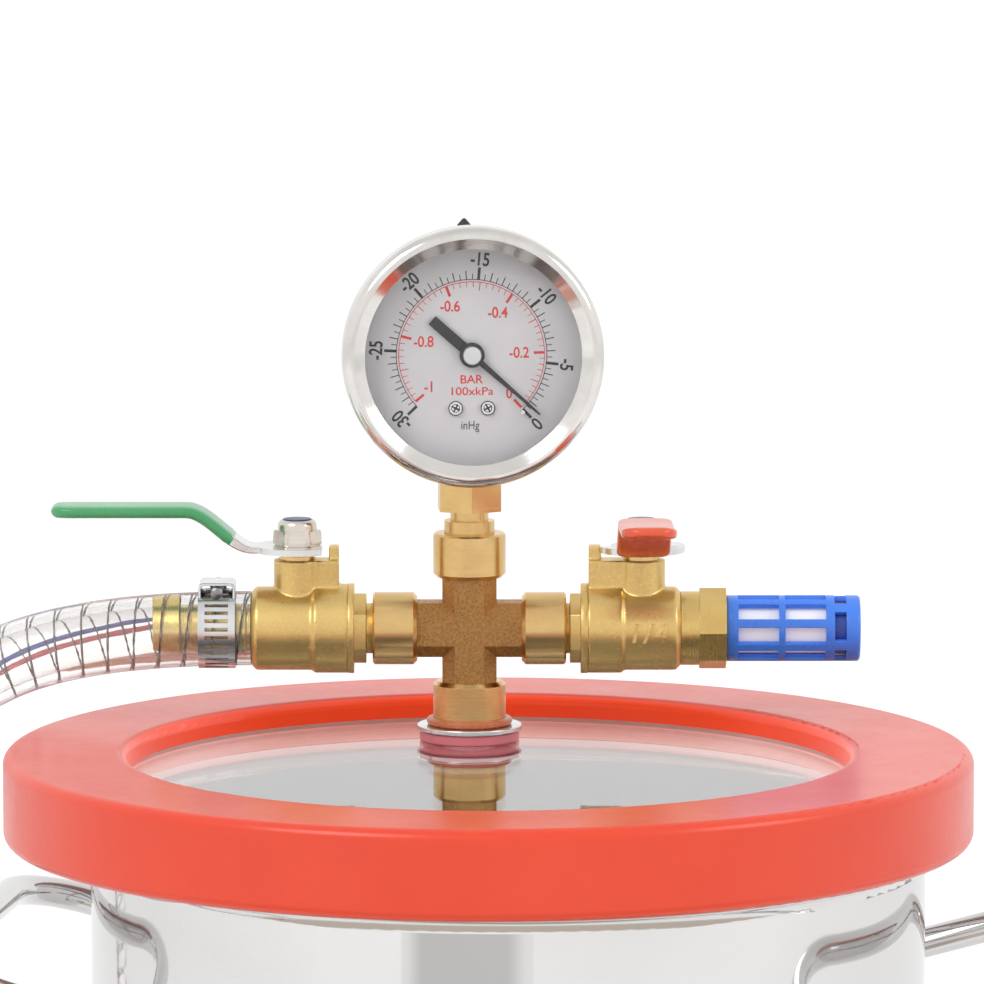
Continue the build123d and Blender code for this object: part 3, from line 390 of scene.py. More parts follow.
def ring_silicone(name):
    """Moulded silicone. Polished and glass pieces see painted reflection colours on it: paler than the eye does inside
    the ring, with painted shade under it. Its inner wall has a painted glow.
    """
    base = colour("silicone")
    material = soft_rubber(
        name, base, tinted(base, (0.95, 0.88, 0.9)), rough=(0.27, 0.40), grain=420.0, depth=0.00003,
        **{
            "Subsurface Weight": 0.1, "Subsurface Radius": (0.003, 0.0008, 0.0004),
            # this Emission Strength drives the painted glow of the ring's inner wall
            "Coat Weight": 0.35, "Coat Roughness": 0.22, "Emission Strength": 0.40,
        },
    )
    sheet = NodeSheet(material.node_tree, fresh=False)
    shader = next(node for node in sheet.tree.nodes if node.type == "BSDF_PRINCIPLED")
    plain = shader.inputs["Base Color"].links[0].from_socket
    low, high = (Vector(corner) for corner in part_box("lid_gasket"))
    place = sheet.parted()
    across = sheet.math("SUBTRACT", place["X"], (low.x + high.x) / 2)
    squares = [sheet.math("MULTIPLY", side, side) for side in (across, place["Y"])]
    inside = sheet.math("LESS_THAN", sheet.math("SQRT", sheet.math("ADD", *squares)), 0.0935)
    under = sheet.math("LESS_THAN", place["Z"], low.z + 0.0015)
    # painted reflection colours that only glossy rays see; the band under the ring gets a darker painted shade
    outside = sheet.mix(under, (0.62, 0.28, 0.20, 1.0), (0.40, 0.25, 0.23, 1.0))
    painted_reflection = sheet.mix(inside, outside, (0.97, 0.93, 0.91, 1.0))
    seen = sheet.add("ShaderNodeLightPath").outputs["Is Glossy Ray"]
    sheet.feed(shader.inputs["Base Color"], sheet.mix(seen, plain, painted_reflection))
    # painted glow: the inner wall gives off the silicone's own colour so it doesn't go dark, in place of light soaking
    # through the silicone
    sheet.feed(shader.inputs["Emission Color"], sheet.mix(inside, (0.0, 0.0, 0.0, 1.0), base))
    return material


def clear_glass(name, tint, ior=1.5, rough=(0.0, 0.02), scale=18.0):
    """Clear plate with the faintest smudges. Light passes it without casting a dark shadow."""
    material, sheet, shader, out = start_material(name, **{"IOR": ior, "Transmission Weight": 1.0})
    mask = place_group(sheet, handling_marks, {"Scale": scale, "Wipe": 12.0}).outputs["Mask"]
    fill(sheet, shader, sheet.mix(mask, tint, tinted(tint, 0.985)), sheet.span(mask, *rough))
    path = sheet.add("ShaderNodeLightPath")
    through = sheet.add("ShaderNodeBsdfTransparent", {"Color": tint})
    blend = sheet.add(
        "ShaderNodeMixShader", {0: path.outputs["Is Shadow Ray"], 1: shader.outputs[0], 2: through.outputs[0]}
    )
    sheet.feed(out.inputs["Surface"], blend.outputs[0])
    return material


def printed_face(name, base):
    """Screen-printed dial: nearly even, with a faint mottle and satin lacquer."""
    material, sheet, shader, _ = start_material(name)
    skin = place_group(sheet, cast_skin, {"Scale": 2600.0, "Depth": 0.000008}).outputs
    cloud = sheet.span(sheet.noise(sheet.place(), 60.0, 3.0), 0.0, 1.0, 0.35, 0.7)
    fill(
        sheet, shader, sheet.mix(cloud, base, tinted(base, 0.93)), sheet.span(skin["Shade"], 0.42, 0.56), skin["Normal"]
    )
    return material


def ink(name, base):
    """Printing ink with slightly uneven cover."""
    material, sheet, shader, _ = start_material(name)
    skin = place_group(sheet, cast_skin, {"Scale": 3200.0, "Depth": 0.000006}).outputs
    thin = (*(min(1.0, channel + 0.03) for channel in base[:3]), 1.0)
    cover = sheet.span(skin["Shade"], 0.0, 1.0, 0.4, 0.7)
    fill(sheet, shader, sheet.mix(cover, base, thin), sheet.span(skin["Shade"], 0.35, 0.5), skin["Normal"])
    return material


def hose_vinyl(name):
    """Clear flexible vinyl: slow waves in its wall, milky where the wall is seen edge on, with painted shade there: the
    milky layer turns a darker brownish grey towards the edges.
    """
    material, sheet, shader, out = start_material(name, **{"IOR": 1.42, "Transmission Weight": 1.0})
    mask = place_group(sheet, handling_marks, {"Scale": 60.0, "Wipe": 6.0}).outputs["Mask"]
    tint = sheet.mix(mask, (0.985, 0.98, 0.975, 1.0), (0.95, 0.94, 0.93, 1.0))
    wave = sheet.noise(sheet.place(), 130.0, 1.5)
    fill(sheet, shader, tint, sheet.span(mask, 0.02, 0.10), sheet.bump(0.00018, wave))
    facing = sheet.add("ShaderNodeLayerWeight", {"Blend": 0.5}).outputs["Facing"]
    milky = sheet.math("ADD", sheet.math("MULTIPLY", sheet.math("POWER", facing, 3.0), 0.62), 0.06)
    # painted shade: the milky layer darkens from pale to brownish grey where the wall is seen edge on
    tone = sheet.mix(sheet.math("POWER", facing, 2.0), (0.90, 0.89, 0.85, 1.0), (0.58, 0.50, 0.47, 1.0))
    milky_haze_and_edge_shade = sheet.add("ShaderNodeBsdfDiffuse", {"Color": tone})
    clear = sheet.add("ShaderNodeMixShader", {0: milky, 1: shader.outputs[0], 2: milky_haze_and_edge_shade.outputs[0]})
    path = sheet.add("ShaderNodeLightPath").outputs
    through = sheet.add("ShaderNodeBsdfTransparent", {"Color": (0.9, 0.9, 0.9, 1.0)})
    either = sheet.math("MAXIMUM", path["Is Shadow Ray"], path["Is Diffuse Ray"])
    blend = sheet.add("ShaderNodeMixShader", {0: either, 1: clear.outputs[0], 2: through.outputs[0]})
    sheet.feed(out.inputs["Surface"], blend.outputs[0])
    return material


FINISHES = {}


def finish(name):
    """The named finish, made the first time that a piece asks for it."""
    if name not in FINISHES:
        FINISHES[name] = FINISH_MAKERS[name](name)
    return FINISHES[name]


FINISH_MAKERS = {
    "pot_steel": lambda n: polished_steel(n),
    "handle_steel": lambda n: polished_steel(n, waves=0.00002),
    "bezel_steel": lambda n: bright_steel(n, base=(0.78, 0.755, 0.72, 1.0), rough=(0.08, 0.17), axis="Y"),
    "case_steel": lambda n: bright_steel(n, axis="Y"),
    "clip_steel": lambda n: bright_steel(n, rough=(0.14, 0.26), axis="X"),
    "housing_steel": lambda n: bright_steel(n, base=(0.30, 0.30, 0.31, 1.0), rough=(0.25, 0.4), axis="X"),
    "washer_steel": lambda n: bright_steel(n, rough=(0.10, 0.22)),
    "lever_steel": lambda n: bright_steel(n, base=(0.80, 0.79, 0.78, 1.0), rough=(0.16, 0.28)),
    "nut_steel": lambda n: bright_steel(n, base=(0.78, 0.71, 0.63, 1.0), rough=(0.16, 0.30)),
    "wire_steel": lambda n: bright_steel(n, base=(0.42, 0.39, 0.37, 1.0), rough=(0.2, 0.35)),
    "screw_steel": lambda n: bright_steel(n, base=(0.62, 0.62, 0.62, 1.0), rough=(0.2, 0.35)),
    "silicone": lambda n: ring_silicone(n),
    "seal_pink": lambda n: soft_rubber(
        n, (0.74, 0.20, 0.23, 1.0), (0.62, 0.18, 0.19, 1.0), rough=(0.10, 0.22),
        **{"Subsurface Weight": 0.2, "Subsurface Radius": (0.003, 0.001, 0.0008)},
    ),
    "seal_orange": lambda n: soft_rubber(n, (0.58, 0.165, 0.065, 1.0), (0.46, 0.13, 0.05, 1.0), rough=(0.2, 0.35)),
    "seal_black": lambda n: soft_rubber(n, (0.02, 0.02, 0.021, 1.0), (0.035, 0.035, 0.036, 1.0), rough=(0.4, 0.6)),
    "glass_plate": lambda n: clear_glass(n, (0.985, 0.98, 0.975, 1.0)),
    "lens_glass": lambda n: clear_glass(n, (0.97, 0.965, 0.97, 1.0), ior=1.16, rough=(0.0, 0.015), scale=40.0),
    "cross_brass": lambda n: forged_brass(n, colour("brass_cast"), (0.30, 0.15, 0.045, 1.0)),
    "collar_brass": lambda n: turned_brass(n, colour("brass_bright")),
    "stem_brass": lambda n: turned_brass(n, colour("brass_bright"), rough=(0.16, 0.3)),
    "valve_brass": lambda n: forged_brass(
        n, colour("brass_valve"), (0.69, 0.475, 0.17, 1.0), grain=2000.0, depth=0.000005, rough=(0.27, 0.38)
    ),
    "end_brass": lambda n: turned_brass(n, (0.74, 0.52, 0.19, 1.0), axis="X", rough=(0.24, 0.36)),
    "barb_brass": lambda n: turned_brass(n, (0.80, 0.62, 0.22, 1.0), axis="X", rough=(0.2, 0.35)),
    "plate_brass": lambda n: turned_brass(n, (0.70, 0.50, 0.2, 1.0), axis="X", rough=(0.25, 0.4)),
    "tube_bronze": lambda n: turned_brass(n, (0.55, 0.33, 0.16, 1.0), axis="Y", rough=(0.2, 0.35)),
    "dial_print": lambda n: printed_face(n, colour("dial")),
    "ink_black": lambda n: ink(n, (0.018, 0.018, 0.02, 1.0)),
    "ink_red": lambda n: ink(n, colour("dial_red")),
    "pointer_paint": lambda n: ink(n, (0.012, 0.012, 0.013, 1.0)),
    "cap_silver": lambda n: bright_steel(n, base=(0.6, 0.6, 0.6, 1.0), rough=(0.15, 0.3), axis="X"),
    "ptfe": lambda n: soft_rubber(n, (0.86, 0.86, 0.84, 1.0), (0.78, 0.78, 0.75, 1.0), rough=(0.4, 0.55)),
    "vinyl_green": lambda n: soft_rubber(
        n, colour("grip_green"), (0.04, 0.32, 0.11, 1.0), rough=(0.22, 0.36), grain=500.0, depth=0.00003,
        **{"Coat Weight": 0.4, "Coat Roughness": 0.18},
    ),
    "vinyl_red": lambda n: soft_rubber(
        n, colour("grip_red"), (0.68, 0.08, 0.02, 1.0), rough=(0.22, 0.36), grain=500.0, depth=0.00003,
        **{"Coat Weight": 0.5, "Coat Roughness": 0.18},
    ),
    "nylon_blue": lambda n: soft_rubber(n, (0.02, 0.035, 0.11, 1.0), (0.03, 0.05, 0.15, 1.0), rough=(0.25, 0.4)),
    "plastic_blue": lambda n: soft_rubber(
        n, colour("filter_blue"), (0.05, 0.20, 0.80, 1.0), rough=(0.2, 0.34), grain=700.0, depth=0.00002
    ),
    "plastic_deep": lambda n: soft_rubber(n, (0.035, 0.09, 0.42, 1.0), (0.03, 0.075, 0.34, 1.0), rough=(0.3, 0.45)),
    # painted glow: the porous core gives off white light of its own, though it is no lamp
    "porous_white": lambda n: soft_rubber(
        n, (0.93, 0.93, 0.93, 1.0), (0.88, 0.88, 0.88, 1.0), rough=(0.7, 0.9), grain=1400.0, depth=0.00005,
        **{"Emission Color": (1.0, 1.0, 1.0, 1.0), "Emission Strength": 0.12}
    ),
    "hose_vinyl": lambda n: hose_vinyl(n),
    "stripe_blue": lambda n: soft_rubber(n, colour("stripe_blue"), (0.04, 0.09, 0.42, 1.0), rough=(0.35, 0.5)),
    "stripe_red": lambda n: soft_rubber(n, colour("stripe_red"), (0.6, 0.04, 0.06, 1.0), rough=(0.35, 0.5)),
}


# ------------------------------------------------------------------ pieces


def record_slot(node):
    for part in frame["record"]["subparts"]:
        if part["node"] == node:
            return part["material_slot"]
    raise RuntimeError(f"{node} has no material slot in the record")


def add_object(name, data):
    piece = bpy.data.objects.new(name, data)
    bpy.context.scene.collection.objects.link(piece)
    return piece


def coat(mesh, finish_name):
    """The finish becomes the mesh's only material."""
    mesh.materials.clear()
    mesh.materials.append(finish(finish_name))


def paint(finish_name, *nodes):
    """Gives the CAD nodes' own objects a finish."""
    for node in nodes:
        coat(frame["nodes"][node].data, finish_name)


def mesh_from(name, work):
    """Ends a working mesh."""
    mesh = bpy.data.meshes.new(name)
    work.to_mesh(mesh)
    work.free()
    return mesh


def shade(mesh, degrees):
    """Smooth faces, with a sharp edge where they turn by more than the angle."""
    mesh.polygons.foreach_set("use_smooth", [True] * len(mesh.polygons))
    mesh.set_sharp_from_angle(angle=math.radians(degrees))
    return mesh


def merged_node(node):
    """Working mesh of a CAD node, its loose triangles joined up."""
    work = bmesh.new()
    work.from_mesh(frame["nodes"][node].data)
    bmesh.ops.remove_doubles(work, verts=work.verts, dist=WELD)
    return work


def merge_flats(work):
    bmesh.ops.dissolve_limit(work, angle_limit=FLAT, verts=work.verts, edges=work.edges, delimit={"NORMAL"})


def cut_off(work, place, way, **settings):
    """Removes what lies beyond a plane; returns the edges of the cut."""
    cut = bmesh.ops.bisect_plane(
        work, geom=work.verts[:] + work.edges[:] + work.faces[:], clear_outer=True,
        plane_co=place, plane_no=way, **settings,
    )
    return [item for item in cut["geom_cut"] if isinstance(item, bmesh.types.BMEdge)]


def break_edges(piece, width, degrees=28.0):
    ease = piece.modifiers.new("Broken edges", "BEVEL")
    ease.width, ease.segments = width, 2
    ease.limit_method, ease.angle_limit = "ANGLE", math.radians(degrees)
    return ease


def new_piece(name, mesh, body, finish_name=None):
    """A finished piece at the origin, riding on a body."""
    piece = add_object(name, mesh)
    if finish_name:
        coat(mesh, finish_name)
    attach(piece, body)
    return piece


def eased_copy(node, finish_name, width=None):
    """Replaces a CAD node by its merged copy with broken edges."""
    work = merged_node(node)
    merge_flats(work)
    mesh = mesh_from(f"{node}_eased", work)
    if "custom_normal" in mesh.attributes:
        mesh.attributes.remove(mesh.attributes["custom_normal"])
    shade(mesh, 28.0)
    piece = add_object(mesh.name, mesh)
    coat(mesh, finish_name)
    ease = break_edges(piece, sizes().edge_round if width is None else width)
    ease.use_clamp_overlap = True
    ease.harden_normals = True
    ease.miter_outer = "MITER_ARC"
    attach(piece, body_of(frame["nodes"][node])[0])
    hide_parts(node)
    return piece


def to_plain_mesh(piece, name, place=None):
    """The evaluated mesh of a working object, moved into place; the object is removed."""
    bpy.context.view_layer.update()
    evaluated = piece.evaluated_get(bpy.context.evaluated_depsgraph_get())
    mesh = bpy.data.meshes.new_from_object(evaluated)
    mesh.name = name
    if place is not None:
        mesh.transform(place)
    bpy.data.objects.remove(piece)
    return mesh


def smooth_mesh(name, work, angle=35.0):
    """Ends a working mesh with its normals outwards and smooth faces."""
    bmesh.ops.remove_doubles(work, verts=work.verts, dist=WELD)
    bmesh.ops.recalc_face_normals(work, faces=work.faces)
    return shade(mesh_from(name, work), angle)


def turned_mesh(name, profile, sides=48, place=None, angle=35.0):
    """Turns a closed profile of (radius, height) pairs round Z, then moves it into place."""
    work = bmesh.new()
    rings = []
    for radius, height in profile:
        if radius < 1e-7:
            rings.append([work.verts.new((0.0, 0.0, height))] * sides)
        else:
            angles = [math.tau * n / sides for n in range(sides)]
            rings.append([work.verts.new((radius * math.cos(a), radius * math.sin(a), height)) for a in angles])
    for low, high in zip(rings, rings[1:] + rings[:1]):
        for n in range(sides):
            after = (n + 1) % sides
            corners = []
            for vert in (low[n], low[after], high[after], high[n]):
                if vert not in corners:
                    corners.append(vert)
            if len(corners) > 2:
                work.faces.new(corners)
    mesh = smooth_mesh(name, work, angle)
    if place is not None:
        mesh.transform(place)
    return mesh


def swept_mesh(name, stations, angle=40.0):
    """Skins a row of sections with equal numbers of points and closes both ends."""
    work = bmesh.new()
    rings = [[work.verts.new(point) for point in section] for section in stations]
    count = len(rings[0])
    for low, high in zip(rings, rings[1:]):
        for n in range(count):
            after = (n + 1) % count
            work.faces.new((low[n], low[after], high[after], high[n]))
    work.faces.new(list(reversed(rings[0])))
    work.faces.new(rings[-1])
    return smooth_mesh(name, work, angle)


def joined_mesh(name, meshes):
    work = bmesh.new()
    for mesh in meshes:
        work.from_mesh(mesh)
        bpy.data.meshes.remove(mesh)
    return mesh_from(name, work)


# ------------------------------------------------------------------ geometry node trees


def start_geometry_tree(name, inputs):
    tree = bpy.data.node_groups.new(name, "GeometryNodeTree")
    tree.interface.new_socket("Geometry", in_out="INPUT", socket_type="NodeSocketGeometry")
    for label, kind, default in inputs:
        socket = tree.interface.new_socket(label, in_out="INPUT", socket_type=kind)
        if default is not None:
            socket.default_value = default
    tree.interface.new_socket("Geometry", in_out="OUTPUT", socket_type="NodeSocketGeometry")
    sheet = NodeSheet(tree)
    return sheet, sheet.add("NodeGroupInput"), sheet.add("NodeGroupOutput")


def close_tree(sheet, given, out, geometry):
    """Ends a tree in Realize Instances and Set Material."""
    real = sheet.add("GeometryNodeRealizeInstances", {"Geometry": geometry})
    painted = sheet.add(
        "GeometryNodeSetMaterial", {"Geometry": real.outputs[0], "Material": given.outputs["Finish"]}
    )
    sheet.tree.links.new(painted.outputs[0], out.inputs[0])
    return sheet.tree


def dial_marks_tree():
    """A row of bars round a dial, from one angle to another."""
    sheet, given, out = start_geometry_tree(
        "Dial Marks",
        [
            ("Count", "NodeSocketInt", 61),
            ("First angle", "NodeSocketFloat", 0.0),
            ("Step", "NodeSocketFloat", 0.0),
            ("Middle radius", "NodeSocketFloat", 0.02),
            ("Bar", "NodeSocketVector", (0.002, 0.0002, 0.00005)),
            ("Level", "NodeSocketFloat", 0.008),
            ("Finish", "NodeSocketMaterial", None),
        ],
    )
    line = sheet.add("GeometryNodeMeshLine", {"Count": given.outputs["Count"]})
    index = sheet.add("GeometryNodeInputIndex")
    turned = sheet.math("MULTIPLY", index.outputs[0], given.outputs["Step"])
    angle = sheet.math("ADD", given.outputs["First angle"], turned)
    spot = sheet.add(
        "ShaderNodeCombineXYZ",
        {
            "X": sheet.math("MULTIPLY", sheet.math("COSINE", angle), given.outputs["Middle radius"]),
            "Y": sheet.math("MULTIPLY", sheet.math("SINE", angle), given.outputs["Middle radius"]),
            "Z": given.outputs["Level"],
        },
    )
    moved = sheet.add("GeometryNodeSetPosition", {"Geometry": line.outputs[0], "Position": spot.outputs[0]})
    bar = sheet.add("GeometryNodeMeshCube", {"Size": given.outputs["Bar"]})
    turn = sheet.add("ShaderNodeCombineXYZ", {"Z": angle})
    bars = sheet.add(
        "GeometryNodeInstanceOnPoints",
        {"Points": moved.outputs[0], "Instance": bar.outputs[0], "Rotation": turn.outputs[0]},
    )
    return close_tree(sheet, given, out, bars.outputs[0])


def wall_line_tree():
    """A line in the hose wall: wound round at a pitch, or straight along it at one angle."""
    sheet, given, out = start_geometry_tree(
        "Hose Wall Line",
        [
            ("Spacing", "NodeSocketFloat", 0.0005),
            ("Turns per metre", "NodeSocketFloat", 150.0),
            ("Start angle", "NodeSocketFloat", 0.0),
            ("Radius", "NodeSocketFloat", 0.008),
            ("Thickness", "NodeSocketFloat", 0.0007),
            ("Flatness", "NodeSocketFloat", 1.0),
            ("Sides", "NodeSocketInt", 6),
            ("Finish", "NodeSocketMaterial", None),
        ],
    )
    even = sheet.add(
        "GeometryNodeResampleCurve",
        {"Curve": given.outputs["Geometry"], "Length": given.outputs["Spacing"]},
        mode="LENGTH",
    )
    along = sheet.add("GeometryNodeSplineParameter").outputs["Length"]
    tangent = sheet.add("GeometryNodeInputTangent").outputs[0]
    side = sheet.vector("NORMALIZE", sheet.vector("CROSS_PRODUCT", tangent, (0.0, 0.0, 1.0)))
    rise = sheet.vector("CROSS_PRODUCT", side, tangent)
    turns = sheet.math("MULTIPLY", given.outputs["Turns per metre"], math.tau)
    angle = sheet.math("ADD", sheet.math("MULTIPLY", along, turns), given.outputs["Start angle"])
    outward = sheet.vector(
        "ADD", sheet.scaled(side, sheet.math("COSINE", angle)), sheet.scaled(rise, sheet.math("SINE", angle))
    )
    offset = sheet.scaled(outward, given.outputs["Radius"])
    moved = sheet.add("GeometryNodeSetPosition", {"Geometry": even.outputs[0], "Offset": offset})
    lined = sheet.add("GeometryNodeSetCurveNormal", {"Curve": moved.outputs[0], "Normal": outward}, mode="FREE")
    circle = sheet.add(
        "GeometryNodeCurvePrimitiveCircle",
        {"Resolution": given.outputs["Sides"], "Radius": sheet.math("MULTIPLY", given.outputs["Thickness"], 0.5)},
        mode="RADIUS",
    )
    flat = sheet.add("ShaderNodeCombineXYZ", {"X": given.outputs["Flatness"], "Y": 1.0, "Z": 1.0})
    section = sheet.add("GeometryNodeTransform", {"Geometry": circle.outputs[0], "Scale": flat.outputs[0]})
    swept = sheet.add(
        "GeometryNodeCurveToMesh",
        {"Curve": lined.outputs[0], "Profile Curve": section.outputs[0], "Fill Caps": True},
    )
    smooth = sheet.add("GeometryNodeSetShadeSmooth", {"Geometry": swept.outputs[0]})
    return close_tree(sheet, given, out, smooth.outputs[0])


def grow(tree_maker, name, carrier, place=None, **values):
    """Runs a tree on a working object with these input values and returns the plain mesh."""
    tree = tree_maker()
    run = carrier.modifiers.new(tree.name, "NODES")
    run.node_group = tree
    for item in tree.interface.items_tree:
        if item.item_type == "SOCKET" and item.in_out == "INPUT" and item.name in values:
            run[item.identifier] = values[item.name]
    return to_plain_mesh(carrier, name, place)


# ------------------------------------------------------------------ stage


class CHAMBER_OT_stage(bpy.types.Operator):
    """Pale floor, soft studio light and the camera"""

    bl_idname = "chamber.stage"
    bl_label = "Stage"

    def execute(self, context):
        context.scene.view_settings.view_transform = "Standard"
        self.floor(context)
        self.surroundings(context)
        self.lamp("key_light", (-1.3, -1.5, 1.9), 1.3, 15.0)
        self.lamp("side_light", (1.7, -0.7, 1.3), 1.0, 6.0)
        self.cards()
        self.camera(context)
        return {"FINISHED"}

    def floor(self, context):
        work = bmesh.new()
        bmesh.ops.create_grid(work, x_segments=2, y_segments=2, size=40.0)
        mesh = mesh_from("floor", work)
        floor = add_object("floor", mesh)
        material, sheet, shader, _ = start_material("floor_paper", Roughness=0.9)
        shader.inputs["Base Color"].default_value = (0.80, 0.80, 0.80, 1.0)
        shader.inputs["Specular IOR Level"].default_value = 0.0
        path = sheet.add("ShaderNodeLightPath")
        seen = sheet.math("MAXIMUM", path.outputs["Is Camera Ray"], path.outputs["Is Transmission Ray"])
        glossy = sheet.math("MULTIPLY", path.outputs["Is Glossy Ray"], 0.20)
        sheet.feed(shader.inputs["Emission Strength"], sheet.math("ADD", sheet.math("MULTIPLY", seen, 0.34), glossy))
        shader.inputs["Emission Color"].default_value = WHITE
        mesh.materials.append(material)

    def surroundings(self, context):
        world = bpy.data.worlds.new("studio")
        context.scene.world = world
        world.use_nodes = True
        sheet = NodeSheet(world.node_tree)
        direction = sheet.add("ShaderNodeTexCoord").outputs["Generated"]
        ramp = sheet.add("ShaderNodeValToRGB", {"Fac": sheet.parted(direction)["Z"]})
        stops = [(0.0, 1.0), (0.12, 1.0), (0.40, 1.0), (0.60, 0.95), (0.80, 0.90), (1.0, 0.80)]
        ramp.color_ramp.elements[0].position, first = 0.0, stops[0][1]
        ramp.color_ramp.elements[0].color = (first, first, first, 1.0)
        ramp.color_ramp.elements[1].position, last = 1.0, stops[-1][1]
        ramp.color_ramp.elements[1].color = (last, last, last, 1.0)
        for position, level in stops[1:-1]:
            stop = ramp.color_ramp.elements.new(position)
            stop.color = (level, level, level, 1.0)
        path = sheet.add("ShaderNodeLightPath")
        gloss = sheet.mix(path.outputs["Is Glossy Ray"], (0.88, 0.88, 0.88, 1.0), ramp.outputs["Color"])
        seen = sheet.math("MAXIMUM", path.outputs["Is Camera Ray"], path.outputs["Is Transmission Ray"])
        light = sheet.mix(seen, gloss, WHITE)
        back = sheet.add("ShaderNodeBackground", {"Color": light, "Strength": 1.0})
        sheet.add("ShaderNodeOutputWorld", {"Surface": back.outputs[0]})

    def lamp(self, name, place, size, power):
        light = bpy.data.lights.new(name, "AREA")
        light.shape = "DISK"
        light.size = size
        light.energy = power
        lamp = add_object(name, light)
        lamp.location = place
        aim = Vector((0.0, 0.0, 0.2)) - Vector(place)
        lamp.rotation_euler = aim.to_track_quat("-Z", "Y").to_euler()

    def cards(self):
        """Grey cards that only polished pieces see; each fades to white along one axis."""
        self.card(
            "card_front", [(-0.33, -0.65, 0.0), (0.07, -0.65, 0.0), (0.07, -0.65, 0.125), (-0.33, -0.65, 0.125)],
            (0.69, 0.69, 0.69, 1.0), "X", -0.13, 0.19, 0.07,
        )
        self.card(
            "card_low", [(-0.5, -0.50, 0.002), (0.5, -0.50, 0.002), (0.5, -0.13, 0.002), (-0.5, -0.13, 0.002)],
            (0.64, 0.56, 0.48, 1.0), "Y", -0.30, 0.20, 0.08,
        )

    def card(self, name, corners, tint, axis, middle, reach, soft):
        work = bmesh.new()
        work.faces.new([work.verts.new(corner) for corner in corners])
        mesh = mesh_from(name, work)
        card = add_object(name, mesh)
        material, sheet, _, out = start_material(f"{name}_paper", Roughness=1.0)
        away = sheet.math("ABSOLUTE", sheet.math("SUBTRACT", sheet.parted()[axis], middle))
        fade = sheet.add(
            "ShaderNodeMapRange", {"Value": away, "From Min": reach - soft, "From Max": reach},
            interpolation_type="SMOOTHSTEP",
        )
        tone = sheet.mix(fade.outputs["Result"], tint, WHITE)
        glow = sheet.add("ShaderNodeEmission", {"Color": tone, "Strength": 1.0})
        sheet.feed(out.inputs["Surface"], glow.outputs[0])
        mesh.materials.append(material)
        card.visible_camera = False
        card.visible_diffuse = False
        card.visible_shadow = False
        card.visible_transmission = False

    def camera(self, context):
        lens = bpy.data.cameras.new("camera")
        lens.lens = 289.7
        lens.sensor_width = 36.0
        lens.clip_start = 0.1
        lens.clip_end = 100.0
        camera = add_object("camera", lens)
        camera.location = (-0.0041, -2.0, 0.5676)
        camera.rotation_euler = (math.radians(90 - 7.314), 0.0, 0.0)
        context.scene.camera = camera


# ------------------------------------------------------------------ hose


def hose_points():
    """The route's corners, then the coil: 12 points and more for each turn."""
    points = [Vector(p) for p in HOSE_ROUTE]
    low = points[-1].z
    for x, y, radius, first, rising in (
        (-0.342, -0.0630, 0.1170, 90, False),
        (-0.342, -0.0735, 0.1065, 270, False),
        (-0.342, -0.0735, 0.1065, 90, True),
    ):
        for degrees in range(20, 181, 20):
            angle = math.radians(first + degrees)
            lift = coil_lift(degrees) if rising else 0.0
            # control points stand a little outside the line they draw, but the last is its end
            out = radius if rising and degrees == 180 else radius / math.cos(math.radians(6.0))
            points.append(Vector((x + out * math.cos(angle), y + out * math.sin(angle), low + lift)))
    return points


def coil_lift(degrees):
    """Height gained that far round the last half turn, eased in and out."""
    rise, end, ease = 0.025, 105.0, 15.0
    steep = rise / (end - ease)
    if degrees < ease:
        return steep * degrees**2 / (2 * ease)
    if degrees < end - ease:
        return steep * (degrees - ease / 2)
    return rise - steep * max(end - degrees, 0) ** 2 / (2 * ease)


def route_curve(name, points):
    """Smooth open spline over the control points."""
    curve = bpy.data.curves.new(name, "CURVE")
    curve.dimensions = "3D"
    curve.resolution_u = 24
    spline = curve.splines.new("NURBS")
    spline.points.add(len(points) - 1)
    for point, place in zip(spline.points, points):
        point.co = (*place, 1.0)
    spline.order_u = 3
    spline.use_endpoint_u = True
    return add_object(name, curve)


def line_points(piece, spacing):
    """Evenly spaced points read from the spline."""
    mesh = bpy.data.meshes.new_from_object(piece.evaluated_get(bpy.context.evaluated_depsgraph_get()))
    raw = [v.co.copy() for v in mesh.vertices]
    bpy.data.meshes.remove(mesh)
    points, left = [raw[0]], spacing
    for a, b in zip(raw, raw[1:]):
        run = (b - a).length
        while run >= left and run > 1e-9:
            a = a + (b - a) * (left / run)
            points.append(a)
            run = (b - a).length
            left = spacing
        left -= run
    if (points[-1] - raw[-1]).length > spacing * 0.3:
        points.append(raw[-1])
    else:
        points[-1] = raw[-1]
    return points


def tube_mesh(name, points, outer, inner, sides):
    """Open-bored tube along the points, closed at both ends by flat rings."""
    work = bmesh.new()
    rings = []
    up = Vector((0, 0, 1))
    for number, point in enumerate(points):
        ahead = points[min(number + 1, len(points) - 1)] - points[max(number - 1, 0)]
        ahead.normalize()
        side = ahead.cross(up)
        if side.length < 0.2:
            side = last_side
        side.normalize()
        last_side = side
        rise = side.cross(ahead)
        pair = []
        for radius in (outer, inner):
            pair.append([
                work.verts.new(point + (side * math.cos(a) + rise * math.sin(a)) * radius)
                for a in (math.tau * step / sides for step in range(sides))
            ])
        rings.append(pair)
    for (out_a, in_a), (out_b, in_b) in zip(rings, rings[1:]):
        for step in range(sides):
            after = (step + 1) % sides
            work.faces.new((out_a[step], out_a[after], out_b[after], out_b[step]))
            work.faces.new((in_a[after], in_a[step], in_b[step], in_b[after]))
    for (out_ring, in_ring), flip in ((rings[0], False), (rings[-1], True)):
        for step in range(sides):
            after = (step + 1) % sides
            face = (out_ring[after], out_ring[step], in_ring[step], in_ring[after])
            work.faces.new(tuple(reversed(face)) if flip else face)
    bmesh.ops.recalc_face_normals(work, faces=work.faces)
    mesh = mesh_from(name, work)
    return shade(mesh, 50)


